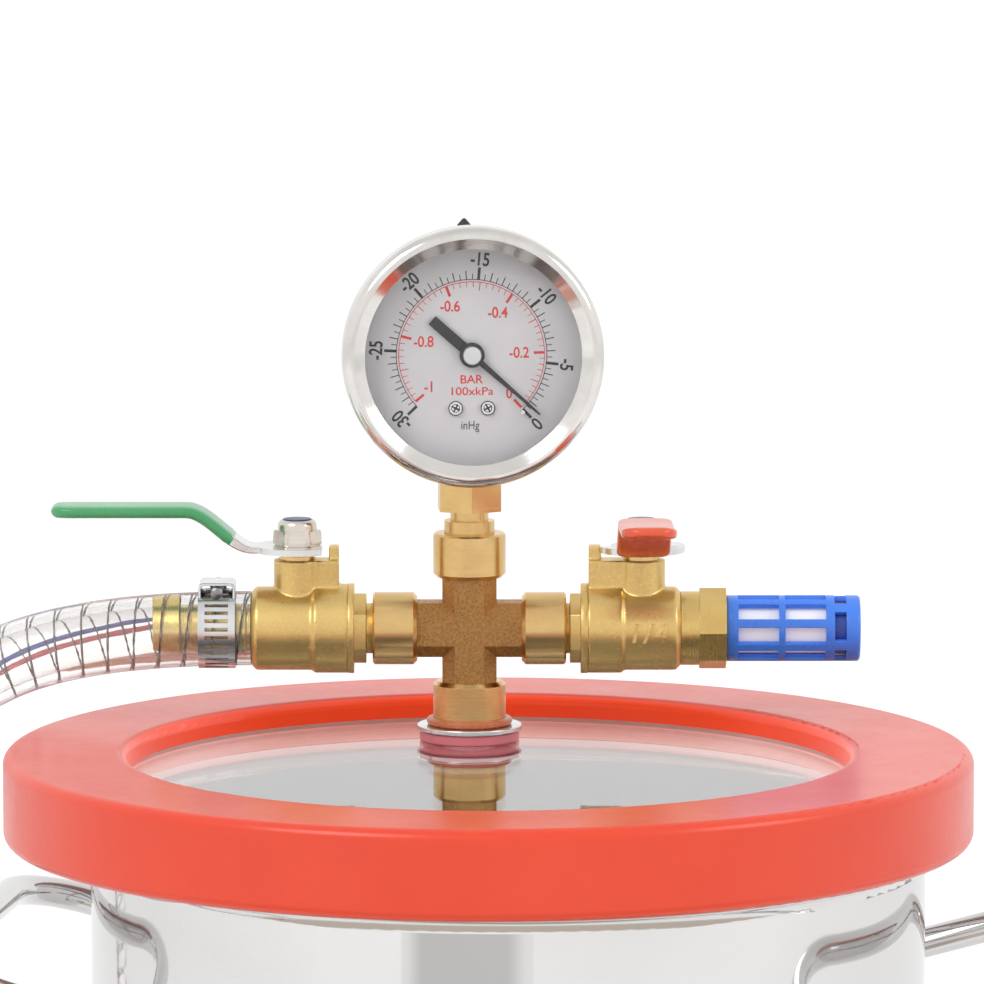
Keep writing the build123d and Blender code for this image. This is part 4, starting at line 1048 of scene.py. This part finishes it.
class CHAMBER_OT_hose(bpy.types.Operator):
    """Clear vinyl hose with its wire, stripes and coil"""

    bl_idname = "chamber.hose"
    bl_label = "Hose"

    outer, bore = 0.00975, 0.0065  # radii

    def execute(self, context):
        route = route_curve("hose_line", hose_points())
        bpy.context.view_layer.update()
        points = line_points(route, 0.003)
        tube = new_piece(
            "suction_hose", tube_mesh("suction_hose", points, self.outer, self.bore, 40),
            "chamber", "hose_vinyl",
        )
        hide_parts("hose", "hose_coil")
        wire_mesh = grow(
            wall_line_tree, "hose_wire", add_object("wire_line", route.data.copy()),
            **{
                "Spacing": 0.0005, "Turns per metre": 1.0 / sizes().wire_pitch, "Start angle": 0.6,
                "Radius": 0.0083, "Thickness": sizes().wire_thickness, "Flatness": 1.0, "Sides": 5,
                "Finish": finish("wire_steel"),
            },
        )
        wire = new_piece("hose_wire", wire_mesh, "chamber")
        for name, angle, paint_name in (
            ("hose_stripe_blue", 34.0, "stripe_blue"), ("hose_stripe_red", 16.0, "stripe_red"),
        ):
            mesh = grow(
                wall_line_tree, name, add_object(f"{name}_line", route.data.copy()),
                **{
                    "Spacing": 0.004, "Turns per metre": -1.5, "Start angle": math.radians(angle),
                    "Radius": 0.0093, "Thickness": sizes().stripe_width, "Flatness": 0.3, "Sides": 8,
                    "Finish": finish(paint_name),
                },
            )
            new_piece(name, mesh, "chamber")
        bpy.data.objects.remove(route)
        paint("end_brass", "pump_fitting")
        return {"FINISHED"}


# ------------------------------------------------------------------ the operators for the pieces


class CHAMBER_OT_pot(bpy.types.Operator):
    """Steel pot and its two handles"""

    bl_idname = "chamber.pot"
    bl_label = "Pot"

    def execute(self, context):
        paint("pot_steel", "pot_body")
        for node, turn in (("handle_left", 172.0), ("handle_right", -8.0)):
            name = f"{node}_rod"
            handle = new_piece(name, self.rod_mesh(name, turn), "chamber", "handle_steel")
            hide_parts(node)
        return {"FINISHED"}

    def rod_mesh(self, name, turn):
        """Bent rod whose ends are pressed flat onto the wall."""
        wall, rod, half, bend, rise = 0.1068, 0.004, 0.0655, 0.022, math.radians(16.0)
        seat = math.sqrt(wall**2 - half**2)
        run = (0.1394 - seat) / math.cos(rise)
        sunk = wall - 0.0006  # the ends are flattened to just inside the wall's face
        line = [(-0.008, -half), (0.0, -half), (run - bend, -half)]
        line += [(run - bend + bend * math.sin(a), -half + bend - bend * math.cos(a))
                 for a in (math.radians(9 * n) for n in range(1, 11))]
        line += [(run - bend + bend * math.cos(a), half - bend + bend * math.sin(a))
                 for a in (math.radians(9 * n) for n in range(0, 11))]
        line += [(0.0, half), (-0.008, half)]
        place = (
            Matrix.Rotation(math.radians(turn), 4, "Z") @ Matrix.Translation((seat, 0.0, 0.180))
            @ Matrix.Rotation(-rise, 4, "Y")
        )
        stations = []
        for number, (u, v) in enumerate(line):
            before, after = line[max(number - 1, 0)], line[min(number + 1, len(line) - 1)]
            ahead = Vector((after[0] - before[0], after[1] - before[1], 0.0)).normalized()
            side = Vector((ahead.y, -ahead.x, 0.0))
            section = []
            for n in range(28):
                a = math.tau * n / 28
                spoke = side * math.cos(a) + Vector((0, 0, 1)) * math.sin(a)
                point = place @ (Vector((u, v, 0.0)) + spoke * rod)
                share = max(1.0, sunk / math.hypot(point.x, point.y))
                point = Vector((point.x * share, point.y * share, point.z))
                section.append(point)
            stations.append(section)
        return swept_mesh(name, stations)


class CHAMBER_OT_lid(bpy.types.Operator):
    """Glass plate in its silicone ring"""

    bl_idname = "chamber.lid"
    bl_label = "Lid"

    def execute(self, context):
        paint("silicone", "lid_gasket")
        paint("glass_plate", "lid_glass")
        return {"FINISHED"}


class CHAMBER_OT_seals(bpy.types.Operator):
    """Gaskets, washers, O-ring and lock nut on the nipple"""

    bl_idname = "chamber.seals"
    bl_label = "Seals"

    def execute(self, context):
        paint("seal_pink", "upper_gasket", "lower_gasket")
        paint("washer_steel", "upper_washer", "lower_washer")
        paint("seal_orange", "o_ring")
        paint("stem_brass", "lock_nut", "lid_nipple")
        return {"FINISHED"}


class CHAMBER_OT_cross(bpy.types.Operator):
    """Forged cross with blasted arms and turned collars"""

    bl_idname = "chamber.cross"
    bl_label = "Cross"

    arm = 0.01365  # the blasted skin ends this far from the middle

    def execute(self, context):
        cross = eased_copy("cross_fitting", "cross_brass", width=0.0004)
        cross.data.materials.append(finish("collar_brass"))
        for face in cross.data.polygons:
            offset = face.center - FITTING_AXIS
            if max(abs(offset.x), abs(offset.z)) > self.arm:
                face.material_index = 1
        eased_copy("gauge_stem", "stem_brass")
        return {"FINISHED"}


class CHAMBER_OT_gauge(bpy.types.Operator):
    """Gauge case, bezel, lens, pointer and movement"""

    bl_idname = "chamber.gauge"
    bl_label = "Gauge"

    def execute(self, context):
        paint("case_steel", "gauge_case")
        paint("bezel_steel", "gauge_bezel")
        paint("seal_black", "gauge_lens_seal")
        paint("lens_glass", "gauge_lens")
        paint("screw_steel", "gauge_dial_screws", "gauge_stop_pin")
        plug = joined_mesh("gauge_vent_cap", [
            turned_mesh("cap_head", [(0, 0.3695), (0.0042, 0.3695), (0.0042, 0.3734), (0.0037, 0.3739), (0, 0.3741)],
                        place=Matrix.Translation((-0.010, 0.0515, 0.0))),
            turned_mesh("cap_nub", [(0, 0.3715), (0.0019, 0.3715), (0.0018, 0.3735), (0.0004, 0.3751), (0, 0.3752)],
                        sides=24, place=Matrix.Translation((-0.0114, 0.0612, 0.0)), angle=50.0),
        ])
        cap = new_piece("gauge_vent_cap", plug, "chamber", "seal_black")
        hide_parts("gauge_vent_plug")
        paint("pointer_paint", "gauge_pointer")
        paint("cap_silver", "gauge_pointer_shaft")
        paint("plate_brass", "gauge_sector_gear", "gauge_link", "gauge_back_plate", "gauge_front_plate")
        paint("tube_bronze", "gauge_bourdon_tube")
        return {"FINISHED"}


class CHAMBER_OT_dial(bpy.types.Operator):
    """Printed dial: two scales, their numerals and units"""

    bl_idname = "chamber.dial"
    bl_label = "Dial print"

    level = 0.00833  # print plane in dial space

    def execute(self, context):
        paint("dial_print", "gauge_dial")
        black, red = [], []
        outer = [math.radians(a) for a in (223.2, 177.0, 130.6, 84.8, 38.6, -6.8, -47.0)]
        inner = [math.radians(a) for a in (-47.0, 1.3, 56.0, 110.4, 165.0, 219.8)]
        for number, (first, last) in enumerate(zip(outer, outer[1:])):
            step = (last - first) / 10
            black.append(self.marks(f"ticks_outer_{number}", 10, first, step, 0.0196, 0.0211, 0.00022, "ink_black"))
            black.append(self.marks(f"ticks_unit_{number}", 5, first, step * 2, 0.0196, 0.0219, 0.00026, "ink_black"))
        for number, angle in enumerate(outer):
            black.append(self.marks(f"tick_major_{number}", 1, angle, 0.0, 0.0196, 0.0228, 0.00074, "ink_black"))
            black.append(self.words(str(-30 + 5 * number), 0.0248, angle, sizes().numeral_height,
                                    turn=angle - math.pi / 2, narrow=0.80))
        for number, (first, last) in enumerate(zip(inner, inner[1:])):
            step = (last - first) / 10
            red.append(self.marks(f"ticks_inner_{number}", 10, first, step, 0.0176, 0.0190, 0.00018, "ink_red"))
            red.append(self.marks(f"tick_half_{number}", 1, (first + last) / 2, 0.0, 0.0168, 0.0190, 0.00022, "ink_red"))
        for number, angle in enumerate(inner):
            red.append(self.marks(f"tick_red_{number}", 1, angle, 0.0, 0.0162, 0.0190, 0.00068, "ink_red"))
        black.append(self.arc("arc_outer", 0.0196, 0.00020, outer[0], outer[-1]))
        red.append(self.arc("arc_inner", 0.0190, 0.00020, inner[-1], inner[0]))
        for label, x, y in (
            ("0", 9.8, -10.3), ("-0.2", 12.4, 0.3), ("-0.4", 6.8, 10.8), ("-0.6", -5.6, 12.5), ("-0.8", -12.5, 3.3),
            ("-1", -11.0, -8.5),
        ):
            red.append(self.line_of_words(label, x * MM, y * MM, 0.0028, 0.86, 0.022))
        red.append(self.line_of_words("BAR", -0.0001, -0.0066, 0.0022, 1.05, 0.02))
        red.append(self.line_of_words("100xkPa", -0.0001, -0.0097, 0.0021, 1.14, 0.012))
        black.append(self.line_of_words("inHg", -0.0004, -0.0186, 0.0023, 0.80, 0.0))
        # the black print also carries the painted shade of the screw slots and rims
        black += self.painted_screw_shade()
        self.join("dial_print_black_and_screw_shade", black, "ink_black", "black_paint")
        self.join("dial_print_red", red, "ink_red", "black_paint")
        return {"FINISHED"}

    def painted_screw_shade(self):
        """Painted shade on the two dial screws: black ink cross slots and rims stand in for their shaded recesses and
        edges.
        """
        into = DIAL_SPACE.inverted()
        points = [into @ v.co for v in frame["nodes"]["gauge_dial_screws"].data.vertices]
        middle = sum(p.x for p in points) / len(points)
        meshes = []
        for side in (-1, 1):
            own = [p for p in points if (p.x - middle) * side > 0]
            x = (min(p.x for p in own) + max(p.x for p in own)) / 2
            y = (min(p.y for p in own) + max(p.y for p in own)) / 2
            top = max(p.z for p in own)
            place = DIAL_SPACE @ Matrix.Translation((x, y, top)) @ Matrix.Rotation(0.5 * side, 4, "Z")
            bar = Matrix.Diagonal((0.0024, 0.00042, 0.00004, 1))
            for turn in (0.0, 90.0):
                work = bmesh.new()
                bmesh.ops.create_cube(work, size=1.0)
                mesh = mesh_from("slot", work)
                mesh.transform(place @ Matrix.Rotation(math.radians(turn), 4, "Z") @ bar)
                meshes.append(mesh)
            for near, far in ((0.00165, 0.00192), (0.00095, 0.00112)):
                ring = [(near, -0.00001), (far, -0.00001), (far, 0.00002), (near, 0.00002)]
                meshes.append(turned_mesh("rim", ring, 32, place))
        return meshes

    def marks(self, name, count, first, step, inner, outer, width, paint_name):
        return grow(
            dial_marks_tree, name, add_object(name, bpy.data.meshes.new(name)), DIAL_SPACE,
            **{
                "Count": count, "First angle": first, "Step": step, "Middle radius": (inner + outer) / 2,
                "Bar": (outer - inner, width, 0.00002), "Level": self.level, "Finish": finish(paint_name),
            },
        )

    def arc(self, name, radius, width, first, last):
        """Thin printed arc under a row of marks."""
        work = bmesh.new()
        rows = []
        for step in range(181):
            angle = first + (last - first) * step / 180
            rows.append([
                work.verts.new((r * math.cos(angle), r * math.sin(angle), self.level + 0.00001))
                for r in (radius - width / 2, radius + width / 2)
            ])
        for (a, b), (c, d) in zip(rows, rows[1:]):
            work.faces.new((a, b, d, c))
        bmesh.ops.recalc_face_normals(work, faces=work.faces)
        mesh = mesh_from(name, work)
        if mesh.polygons[0].normal.z < 0:
            mesh.flip_normals()
        mesh.transform(DIAL_SPACE)
        return mesh

    def letters(self, text, height, narrow, bold=0.03):
        curve = bpy.data.curves.new(f"label_{len(bpy.data.curves)}", "FONT")
        curve.body = text
        curve.size = height * 1.42
        curve.align_x = "CENTER"
        curve.align_y = "CENTER"
        curve.resolution_u = 6
        curve.offset = height * bold
        piece = add_object(curve.name, curve)
        return to_plain_mesh(piece, curve.name, Matrix.Diagonal((narrow, 1.0, 1.0, 1.0)))

    def words(self, text, radius, angle, height, turn, narrow):
        mesh = self.letters(text, height, narrow)
        spot = Matrix.Translation((radius * math.cos(angle), radius * math.sin(angle), self.level + 0.00001))
        mesh.transform(DIAL_SPACE @ spot @ Matrix.Rotation(turn, 4, "Z"))
        return mesh

    def line_of_words(self, text, x, y, height, narrow, bold):
        mesh = self.letters(text, height, narrow, bold)
        mesh.transform(DIAL_SPACE @ Matrix.Translation((x, y, self.level + 0.00001)))
        return mesh

    def join(self, name, meshes, paint_name, slot):
        new_piece(name, joined_mesh(name, meshes), "chamber", paint_name)


class CHAMBER_OT_valves(bpy.types.Operator):
    """Barrels, balls, stems and screwed ends of the two ball valves"""

    bl_idname = "chamber.valves"
    bl_label = "Valves"

    def execute(self, context):
        for side in ("left", "right"):
            self.body(side)
            paint("ptfe", f"{side}_valve_seats")
            paint("bezel_steel", f"{side}_valve_ball")
            paint("stem_brass", f"{side}_valve_stem", f"{side}_valve_packing")
        self.size_mark()
        eased_copy("right_valve_end", "end_brass")
        eased_copy("hose_barb", "barb_brass")
        return {"FINISHED"}

    def body(self, side):
        """Crisp neck from the CAD body, and a barrel with the soft corners of a forging."""
        node = f"{side}_valve_body"
        way, rim, step, end, block, post, post_end = {
            "left": (-1, 0.0320, 0.0409, 0.0571, 0.03415, 0.03415, 0.03675),
            "right": (1, 0.0312, 0.0402, 0.0553, 0.0312, 0.0312, 0.0344),
        }[side]
        stem = 0.04505
        along = Matrix.Translation(FITTING_AXIS) @ Matrix.Rotation(math.radians(90 * way), 4, "Y")
        upright = Matrix.Translation(FITTING_AXIS + Vector((way * stem, 0.0, 0.0)))
        parts = [
            turned_mesh(node, [(0, rim - 0.0003), (0.0117, rim - 0.0003), (0.0117, step - 0.0004), (0.01095, step + 0.0004),
                               (0.01095, end - 0.0013), (0.00965, end), (0, end)], 64, along),
            turned_mesh(node, [(0, 0), (0.00615, 0), (0.00615, 0.0183), (0, 0.0183)], 64, upright),
            self.box_mesh(node, way, block, stem, 0.0040, 0.0183),
            self.box_mesh(node, way, post, post_end, 0.0025, 0.0219),
        ]
        barrel = add_object(node, joined_mesh(node, parts))
        voxels = barrel.modifiers.new("Melt", "REMESH")
        voxels.mode, voxels.voxel_size = "VOXEL", 0.0003
        soften = barrel.modifiers.new("Soften", "SMOOTH")
        soften.factor, soften.iterations = 0.5, 9
        bore = [(0, rim - 0.001), (0.0041, rim - 0.001), (0.0041, stem - 0.0085), (0.0085, stem - 0.0085),
                (0.0085, end + 0.001), (0, end + 0.001)]
        shaft = [(0, 0.0), (0.0034, 0.0), (0.0034, 0.0132), (0.0049, 0.0132), (0.0049, 0.0192), (0, 0.0192)]
        cutters = [add_object("bore", turned_mesh("bore", bore, 64, along)),
                   add_object("shaft", turned_mesh("shaft", shaft, 64, upright))]
        for cutter in cutters:
            cut = barrel.modifiers.new("Cut", "BOOLEAN")
            cut.object, cut.operation, cut.solver = cutter, "DIFFERENCE", "MANIFOLD"
        soft = to_plain_mesh(barrel, f"{node}_barrel")
        for cutter in cutters:
            bpy.data.objects.remove(cutter)
        work = merged_node(node)
        face = FITTING_AXIS + Vector((way * (rim - 0.0002), 0, 0))
        bmesh.ops.bridge_loops(work, edges=cut_off(work, face, (way, 0, 0), dist=0.000001))
        merge_flats(work)
        neck = add_object(f"{node}_neck", smooth_mesh(f"{node}_neck", work, 28.0))
        break_edges(neck, 0.00025)
        crisp = to_plain_mesh(neck, f"{node}_crisp")
        mesh = joined_mesh(f"{node}_forged", [soft, crisp])
        shade(mesh, 40.0)
        piece = new_piece(f"{node}_forged", mesh, "chamber", "valve_brass")
        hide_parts(node)

    def box_mesh(self, name, way, near, far, half, top):
        """Block on the barrel between two distances from the cross."""
        ends = [FITTING_AXIS + Vector((way * u, 0.0, 0.0)) for u in (near, far)]
        corners = ((-half, 0.0), (half, 0.0), (half, top), (-half, top))
        return swept_mesh(name, [[end + Vector((0.0, y, z)) for y, z in corners] for end in ends])

    def size_mark(self):
        """Raised port size on the front of the right barrel."""
        curve = bpy.data.curves.new("size_mark", "FONT")
        curve.body = "1/4"
        curve.size = 0.0066
        curve.shear = 0.15
        curve.align_x = "CENTER"
        curve.align_y = "CENTER"
        curve.extrude = 0.00034
        curve.bevel_depth = 0.00012
        curve.offset = 0.00012
        curve.bevel_resolution = 2
        curve.resolution_u = 4
        curve.space_character = 1.25
        text = add_object("size_mark", curve)
        place = Matrix.Translation((0.0364, 0.0, 0.2678)) @ Matrix.Rotation(math.radians(90), 4, "X")
        mesh = to_plain_mesh(text, "right_size_mark", place)
        radius = 0.01116
        for vert in mesh.vertices:
            drop = FITTING_AXIS.z - vert.co.z
            vert.co.y += FITTING_AXIS.y - math.sqrt(radius**2 - drop**2)
        shade(mesh, 50)
        new_piece("right_size_mark", mesh, "chamber", "valve_brass")


class CHAMBER_OT_levers(bpy.types.Operator):
    """Pressed levers, dipped grips and self-locking nuts"""

    bl_idname = "chamber.levers"
    bl_label = "Levers"

    sheet_middle, cad_middle = 0.2892, 0.2882  # heights of the sheet round the nut, here and in the CAD
    lift = 0.0100  # from there up to the grip
    plate_end = 0.0100  # the strip starts this far from the pivot

    def execute(self, context):
        for side, vinyl, pivot_x, direction, tip_rise, mouth in (
            ("left", "vinyl_green", -0.05505, Vector((-1, 0, 0)), 0.0, 0.0170),
            ("right", "vinyl_red", 0.03505, Vector((0.014, -1, 0)).normalized(), 0.0026, 0.0142),
        ):
            pivot = Vector((pivot_x, FITTING_AXIS.y, 0.0))
            across = Vector((-direction.y, direction.x, 0.0))
            body = body_of(frame["nodes"][f"{side}_valve_lever"])[0]
            self.lever(side, pivot, direction, across, body, tip_rise)
            name = f"{side}_grip_sleeve"
            grip = self.strip(name, pivot, direction, across, mouth, 0.0643, self.grip_section, tip_rise)
            sleeve = new_piece(name, grip, body, vinyl)
            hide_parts(f"{side}_valve_grip")
            name, slot = f"{side}_lock_nut", record_slot(f"{side}_valve_nut")
            nut = new_piece(name, self.nut_mesh(name, pivot), body, "nut_steel")
            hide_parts(f"{side}_valve_nut")
            insert = turned_mesh(
                f"{side}_nut_insert",
                [(0, 0.2962), (0.0036, 0.2962), (0.0039, 0.29668), (0.0036, 0.29702), (0.0026, 0.29713), (0, 0.29715)],
                place=Matrix.Translation(pivot),
            )
            new_piece(f"{side}_nut_insert", insert, body, "nylon_blue")
        return {"FINISHED"}

    def height(self, u, tip_rise):
        """Middle of the sheet: flat round the nut, an easy S, then flat to the tip."""
        part = min(max((u - 0.0112) / 0.0178, 0.0), 1.0)
        tail = max(u - 0.030, 0.0) / 0.036
        return self.sheet_middle + self.lift * part * part * (3 - 2 * part) + tip_rise * tail * tail

    def strip(self, name, pivot, direction, across, first, last, section, tip_rise):
        """Sections across the lever's line, from one distance to another."""
        count = 56
        stations = []
        for number in range(count + 1):
            share = number / count
            u = first + (last - first) * (1 - (1 - share) ** 1.5 if share > 0.5 else share * (1 - 0.5**1.5) / 0.5)
            slope = (self.height(u + 0.0004, tip_rise) - self.height(u - 0.0004, tip_rise)) / 0.0008
            rise = Vector((-direction.x * slope, -direction.y * slope, 1.0)).normalized()
            middle = pivot + direction * u + Vector((0, 0, self.height(u, tip_rise)))
            stations.append([middle + across * w + rise * t for w, t in section(u, first, last)])
        return swept_mesh(name, stations, 50.0)

    def steel_section(self, u, first, last):
        """Flat strip with eased edges and a round end."""
        grown = min(max((u - 0.0115) / 0.0060, 0.0), 1.0)
        half, thick, ease = 0.0055 + 0.0008 * grown, 0.0008 + 0.0005 * grown, 0.0003
        left = last - u
        if left < 0.0045:
            half *= math.sqrt(max(1 - ((0.0045 - left) / 0.0047) ** 2, 0.02))
        return [
            (half - ease, -thick), (half, -thick + ease), (half, thick - ease), (half - ease, thick),
            (-half + ease, thick), (-half, thick - ease), (-half, -thick + ease), (-half + ease, -thick),
        ]

    def grip_section(self, u, first, last):
        """Soft-edged sleeve, rounded at its tip, with a thin lip at its mouth."""
        half, thick = 0.0070, 0.00165
        left, gone = last - u, u - first
        if left < 0.0068:
            part = (0.0068 - left) / 0.0070
            half *= max(1 - part**2.6, 0.0) ** (1 / 2.6) + 0.02
        if left < 0.0020:
            thick *= max(1 - ((0.0020 - left) / 0.00205) ** 2, 0.0) ** 0.5
        if gone < 0.0008:
            thick *= 0.82 + 0.18 * math.sqrt(max(1 - ((0.0008 - gone) / 0.0008) ** 2, 0.0))
            half -= 0.0003 * (1 - gone / 0.0008)
        points = []
        for n in range(32):
            a = math.tau * n / 32
            c, s = math.cos(a), math.sin(a)
            points.append((
                half * math.copysign(abs(c) ** 0.42, c),
                thick * math.copysign(abs(s) ** 0.55, s),
            ))
        return points

    def nut_mesh(self, name, pivot):
        """Hexagon with turned chamfers top and bottom, and a rolled collar over the insert."""
        flats, low, high = 0.0055, 0.29005, 0.2940
        tall = [(low, 0.93), (low + 0.0005, 1.0), (high - 0.0009, 1.0), (high, 0.955)]
        stations = []
        for height, share in tall:
            section = []
            for n in range(72):
                a = math.tau * n / 72
                across = flats / math.cos(a % (math.pi / 3) - math.pi / 6)
                reach = min(across, flats / math.cos(math.pi / 6) * share)
                section.append(pivot + Vector((reach * math.cos(a), reach * math.sin(a), height)))
            stations.append(section)
        collar = turned_mesh(
            name, [(0.0036, 0.2935), (0.0051, 0.2935), (0.0051, 0.2954), (0.0049, 0.2961), (0.0044, 0.2966),
                   (0.0040, 0.29675), (0.0038, 0.2966), (0.0036, 0.2962)],
            place=Matrix.Translation(pivot), angle=60.0,
        )
        rim = turned_mesh(
            name, [(0.0031, 0.28995), (0.0048, 0.28995), (0.0048, 0.2903), (0.0031, 0.2903)],
            place=Matrix.Translation(pivot),
        )
        return joined_mesh(name, [swept_mesh(name, stations, 24.0), collar, rim])

    def lever(self, side, pivot, direction, across, body, tip_rise):
        """The plate round the nut comes from the CAD lever; the rising strip is swept."""
        node = f"{side}_valve_lever"
        work = merged_node(node)
        bmesh.ops.holes_fill(work, edges=cut_off(work, pivot + direction * self.plate_end, direction))
        merge_flats(work)
        bmesh.ops.translate(work, verts=work.verts, vec=(0.0, 0.0, self.sheet_middle - self.cad_middle))
        plate = smooth_mesh(f"{node}_plate", work, 28.0)
        strip = self.strip(
            f"{node}_strip", pivot, direction, across, self.plate_end, 0.0620, self.steel_section, tip_rise
        )
        mesh = joined_mesh(f"{node}_pressed", [plate, strip])
        piece = new_piece(f"{node}_pressed", mesh, body, "lever_steel")
        piece.data.set_sharp_from_angle(angle=math.radians(28.0))
        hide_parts(node)


class CHAMBER_OT_filter(bpy.types.Operator):
    """Moulded cage and porous core of the intake filter"""

    bl_idname = "chamber.filter"
    bl_label = "Intake filter"

    windows = ((0.0603, 0.0709), (0.0726, 0.0832))
    slots = (0.0855, 0.0885)
    # angles are above the front horizontal
    window_angles = [(-21.0 + 45 * n, 9.0 + 45 * n) for n in range(8)]
    slot_angles = [(-15.5 + 72 * n, 37.5 + 72 * n) for n in range(5)]

    def execute(self, context):
        cage = new_piece("filter_cage", self.cage(), "chamber", "plastic_blue")
        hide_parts("filter_body")
        axis = Matrix.Translation(FITTING_AXIS) @ Matrix.Rotation(math.radians(90), 4, "Y")
        sleeve = turned_mesh(
            "filter_sleeve", [(0.00643, 0.0945), (0.0067, 0.0945), (0.0067, 0.1005), (0.00643, 0.1005)], 64, axis
        )
        new_piece("filter_sleeve", sleeve, "chamber", "plastic_deep")
        paint("porous_white", "filter_core")
        return {"FINISHED"}

    def cage(self):
        """Shell with two rows of windows and a row of slots, made by leaving cells out of a grid."""
        profile = [(0.0479, 0.0062), (0.0570, 0.0062), (0.0573, 0.0085), (0.0575, 0.00865)]
        rows = (0.0603, 0.0656, 0.0709, 0.0726, 0.0779, 0.0832, 0.0855, 0.0870, 0.0885, 0.0914)
        profile += [(x, 0.00865) for x in rows]
        profile += [(0.0919, 0.0085), (0.0922, 0.0081), (0.0922, 0.0050), (0.0922, 0.0)]
        edges = {round(a % 360, 2) for pair in self.window_angles + self.slot_angles for a in pair}
        angles = sorted(edges | {float(a) for a in range(0, 360, 5) if min(abs(a - e) for e in edges) > 1.8})
        work = bmesh.new()
        rings = []
        for x, radius in profile:
            if radius < 1e-6:
                rings.append([work.verts.new((x, FITTING_AXIS.y, FITTING_AXIS.z))] * len(angles))
                continue
            rings.append([
                work.verts.new((x, FITTING_AXIS.y - radius * math.cos(a), FITTING_AXIS.z + radius * math.sin(a)))
                for a in map(math.radians, angles)
            ])
        for number, ((x0, _), (x1, _)) in enumerate(zip(profile, profile[1:])):
            middle = (x0 + x1) / 2
            if any(low < middle < high for low, high in self.windows):
                spans = self.window_angles
            else:
                spans = self.slot_angles if self.slots[0] < middle < self.slots[1] else []
            for n, a in enumerate(angles):
                after = (n + 1) % len(angles)
                centre = a + ((angles[after] - a) % 360) / 2
                if any((centre - low) % 360 < high - low for low, high in spans):
                    continue
                low, high = rings[number], rings[number + 1]
                corners = [low[n], high[n], high[after], low[after]]
                if high[n] == high[after]:
                    corners = corners[:2] + corners[3:]
                work.faces.new(corners)
        bmesh.ops.recalc_face_normals(work, faces=work.faces)
        mesh = mesh_from("filter_cage", work)
        piece = add_object("filter_cage", mesh)
        wall = piece.modifiers.new("Wall", "SOLIDIFY")
        wall.thickness, wall.offset = 0.0016, -1.0
        break_edges(piece, 0.00028, 40.0)
        mesh = to_plain_mesh(piece, "filter_cage")
        return shade(mesh, 40.0)


class CHAMBER_OT_clip(bpy.types.Operator):
    """Worm-drive clip on the hose"""

    bl_idname = "chamber.clip"
    bl_label = "Hose clip"

    def execute(self, context):
        paint("clip_steel", "clamp_band")
        middle_x = (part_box("clamp_band")[0][0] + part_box("clamp_band")[1][0]) / 2
        housing = new_piece(
            "clip_housing", self.housing_mesh("clip_housing", middle_x), "chamber", "clip_steel"
        )
        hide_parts("clamp_housing")
        place = Matrix.Translation((middle_x, 0.0, 0.2780)) @ Matrix.Rotation(math.radians(-90), 4, "X")
        thread = [(0, 0.0474)]
        for turn in range(13):
            low = 0.0476 + 0.00105 * turn
            thread += [(0.00115, low), (0.00155, low + 0.0003), (0.00155, low + 0.0006), (0.00115, low + 0.0009)]
        thread += [(0.00115, 0.0612), (0.0021, 0.0612), (0.0022, 0.0616), (0.0022, 0.0636), (0.0019, 0.0639), (0, 0.0639)]
        screw = new_piece(
            "clip_screw", turned_mesh("clip_screw", thread, 32, place), "chamber", "housing_steel"
        )
        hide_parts("clamp_screw")
        return {"FINISHED"}

    def housing_mesh(self, name, middle_x):
        """Low pressed arch over the worm, open at both ends, with straight sides down to its foot height."""
        half, top, wall, corner = 0.0048, 0.2806, 0.0007, 0.0013
        foot = 0.2764

        def arch(inset):
            side, high = half - inset, top - inset
            bend = max(corner - inset, 0.0004)
            points = [(-side, foot)]
            points += [(-side + bend - bend * math.cos(a), high - bend + bend * math.sin(a))
                       for a in (math.radians(15 * n) for n in range(7))]
            points += [(side - bend + bend * math.sin(a), high - bend + bend * math.cos(a))
                       for a in (math.radians(15 * n) for n in range(7))]
            points.append((side, foot))
            return points

        stations = []
        for y, shrink in ((0.0482, 0.00012), (0.0484, 0.0), (0.0598, 0.0), (0.0600, 0.00012)):
            ring = arch(shrink) + list(reversed(arch(wall - shrink)))
            stations.append([Vector((middle_x + x, y, z)) for x, z in ring])
        return swept_mesh(name, stations, 30.0)


# ------------------------------------------------------------------ panel and registration


OPERATORS = (
    CHAMBER_OT_stage,
    CHAMBER_OT_hose,
    CHAMBER_OT_pot,
    CHAMBER_OT_lid,
    CHAMBER_OT_seals,
    CHAMBER_OT_cross,
    CHAMBER_OT_gauge,
    CHAMBER_OT_dial,
    CHAMBER_OT_valves,
    CHAMBER_OT_levers,
    CHAMBER_OT_filter,
    CHAMBER_OT_clip,
)


class CHAMBER_PT_finish(bpy.types.Panel):
    """Lists the settings and the operators"""

    bl_idname = "CHAMBER_PT_finish"
    bl_label = "Vacuum chamber"
    bl_space_type = "VIEW_3D"
    bl_region_type = "UI"
    bl_category = "Chamber"

    def draw(self, context):
        for group in (context.scene.chamber_sizes, context.scene.chamber_colours):
            box = self.layout.box()
            for key in group.__annotations__:
                box.prop(group, key)
        for operator in OPERATORS:
            self.layout.operator(operator.bl_idname)


CLASSES = (ChamberSizes, ChamberColours, *OPERATORS, CHAMBER_PT_finish)


def register():
    for item in CLASSES:
        bpy.utils.register_class(item)
    bpy.types.Scene.chamber_sizes = bpy.props.PointerProperty(type=ChamberSizes)
    bpy.types.Scene.chamber_colours = bpy.props.PointerProperty(type=ChamberColours)


def unregister():
    del bpy.types.Scene.chamber_colours
    del bpy.types.Scene.chamber_sizes
    for item in reversed(CLASSES):
        bpy.utils.unregister_class(item)


def main():
    register()
    for operator in OPERATORS:
        getattr(bpy.ops.chamber, operator.bl_idname.removeprefix("chamber."))()


if __name__ == "__main__":
    main()
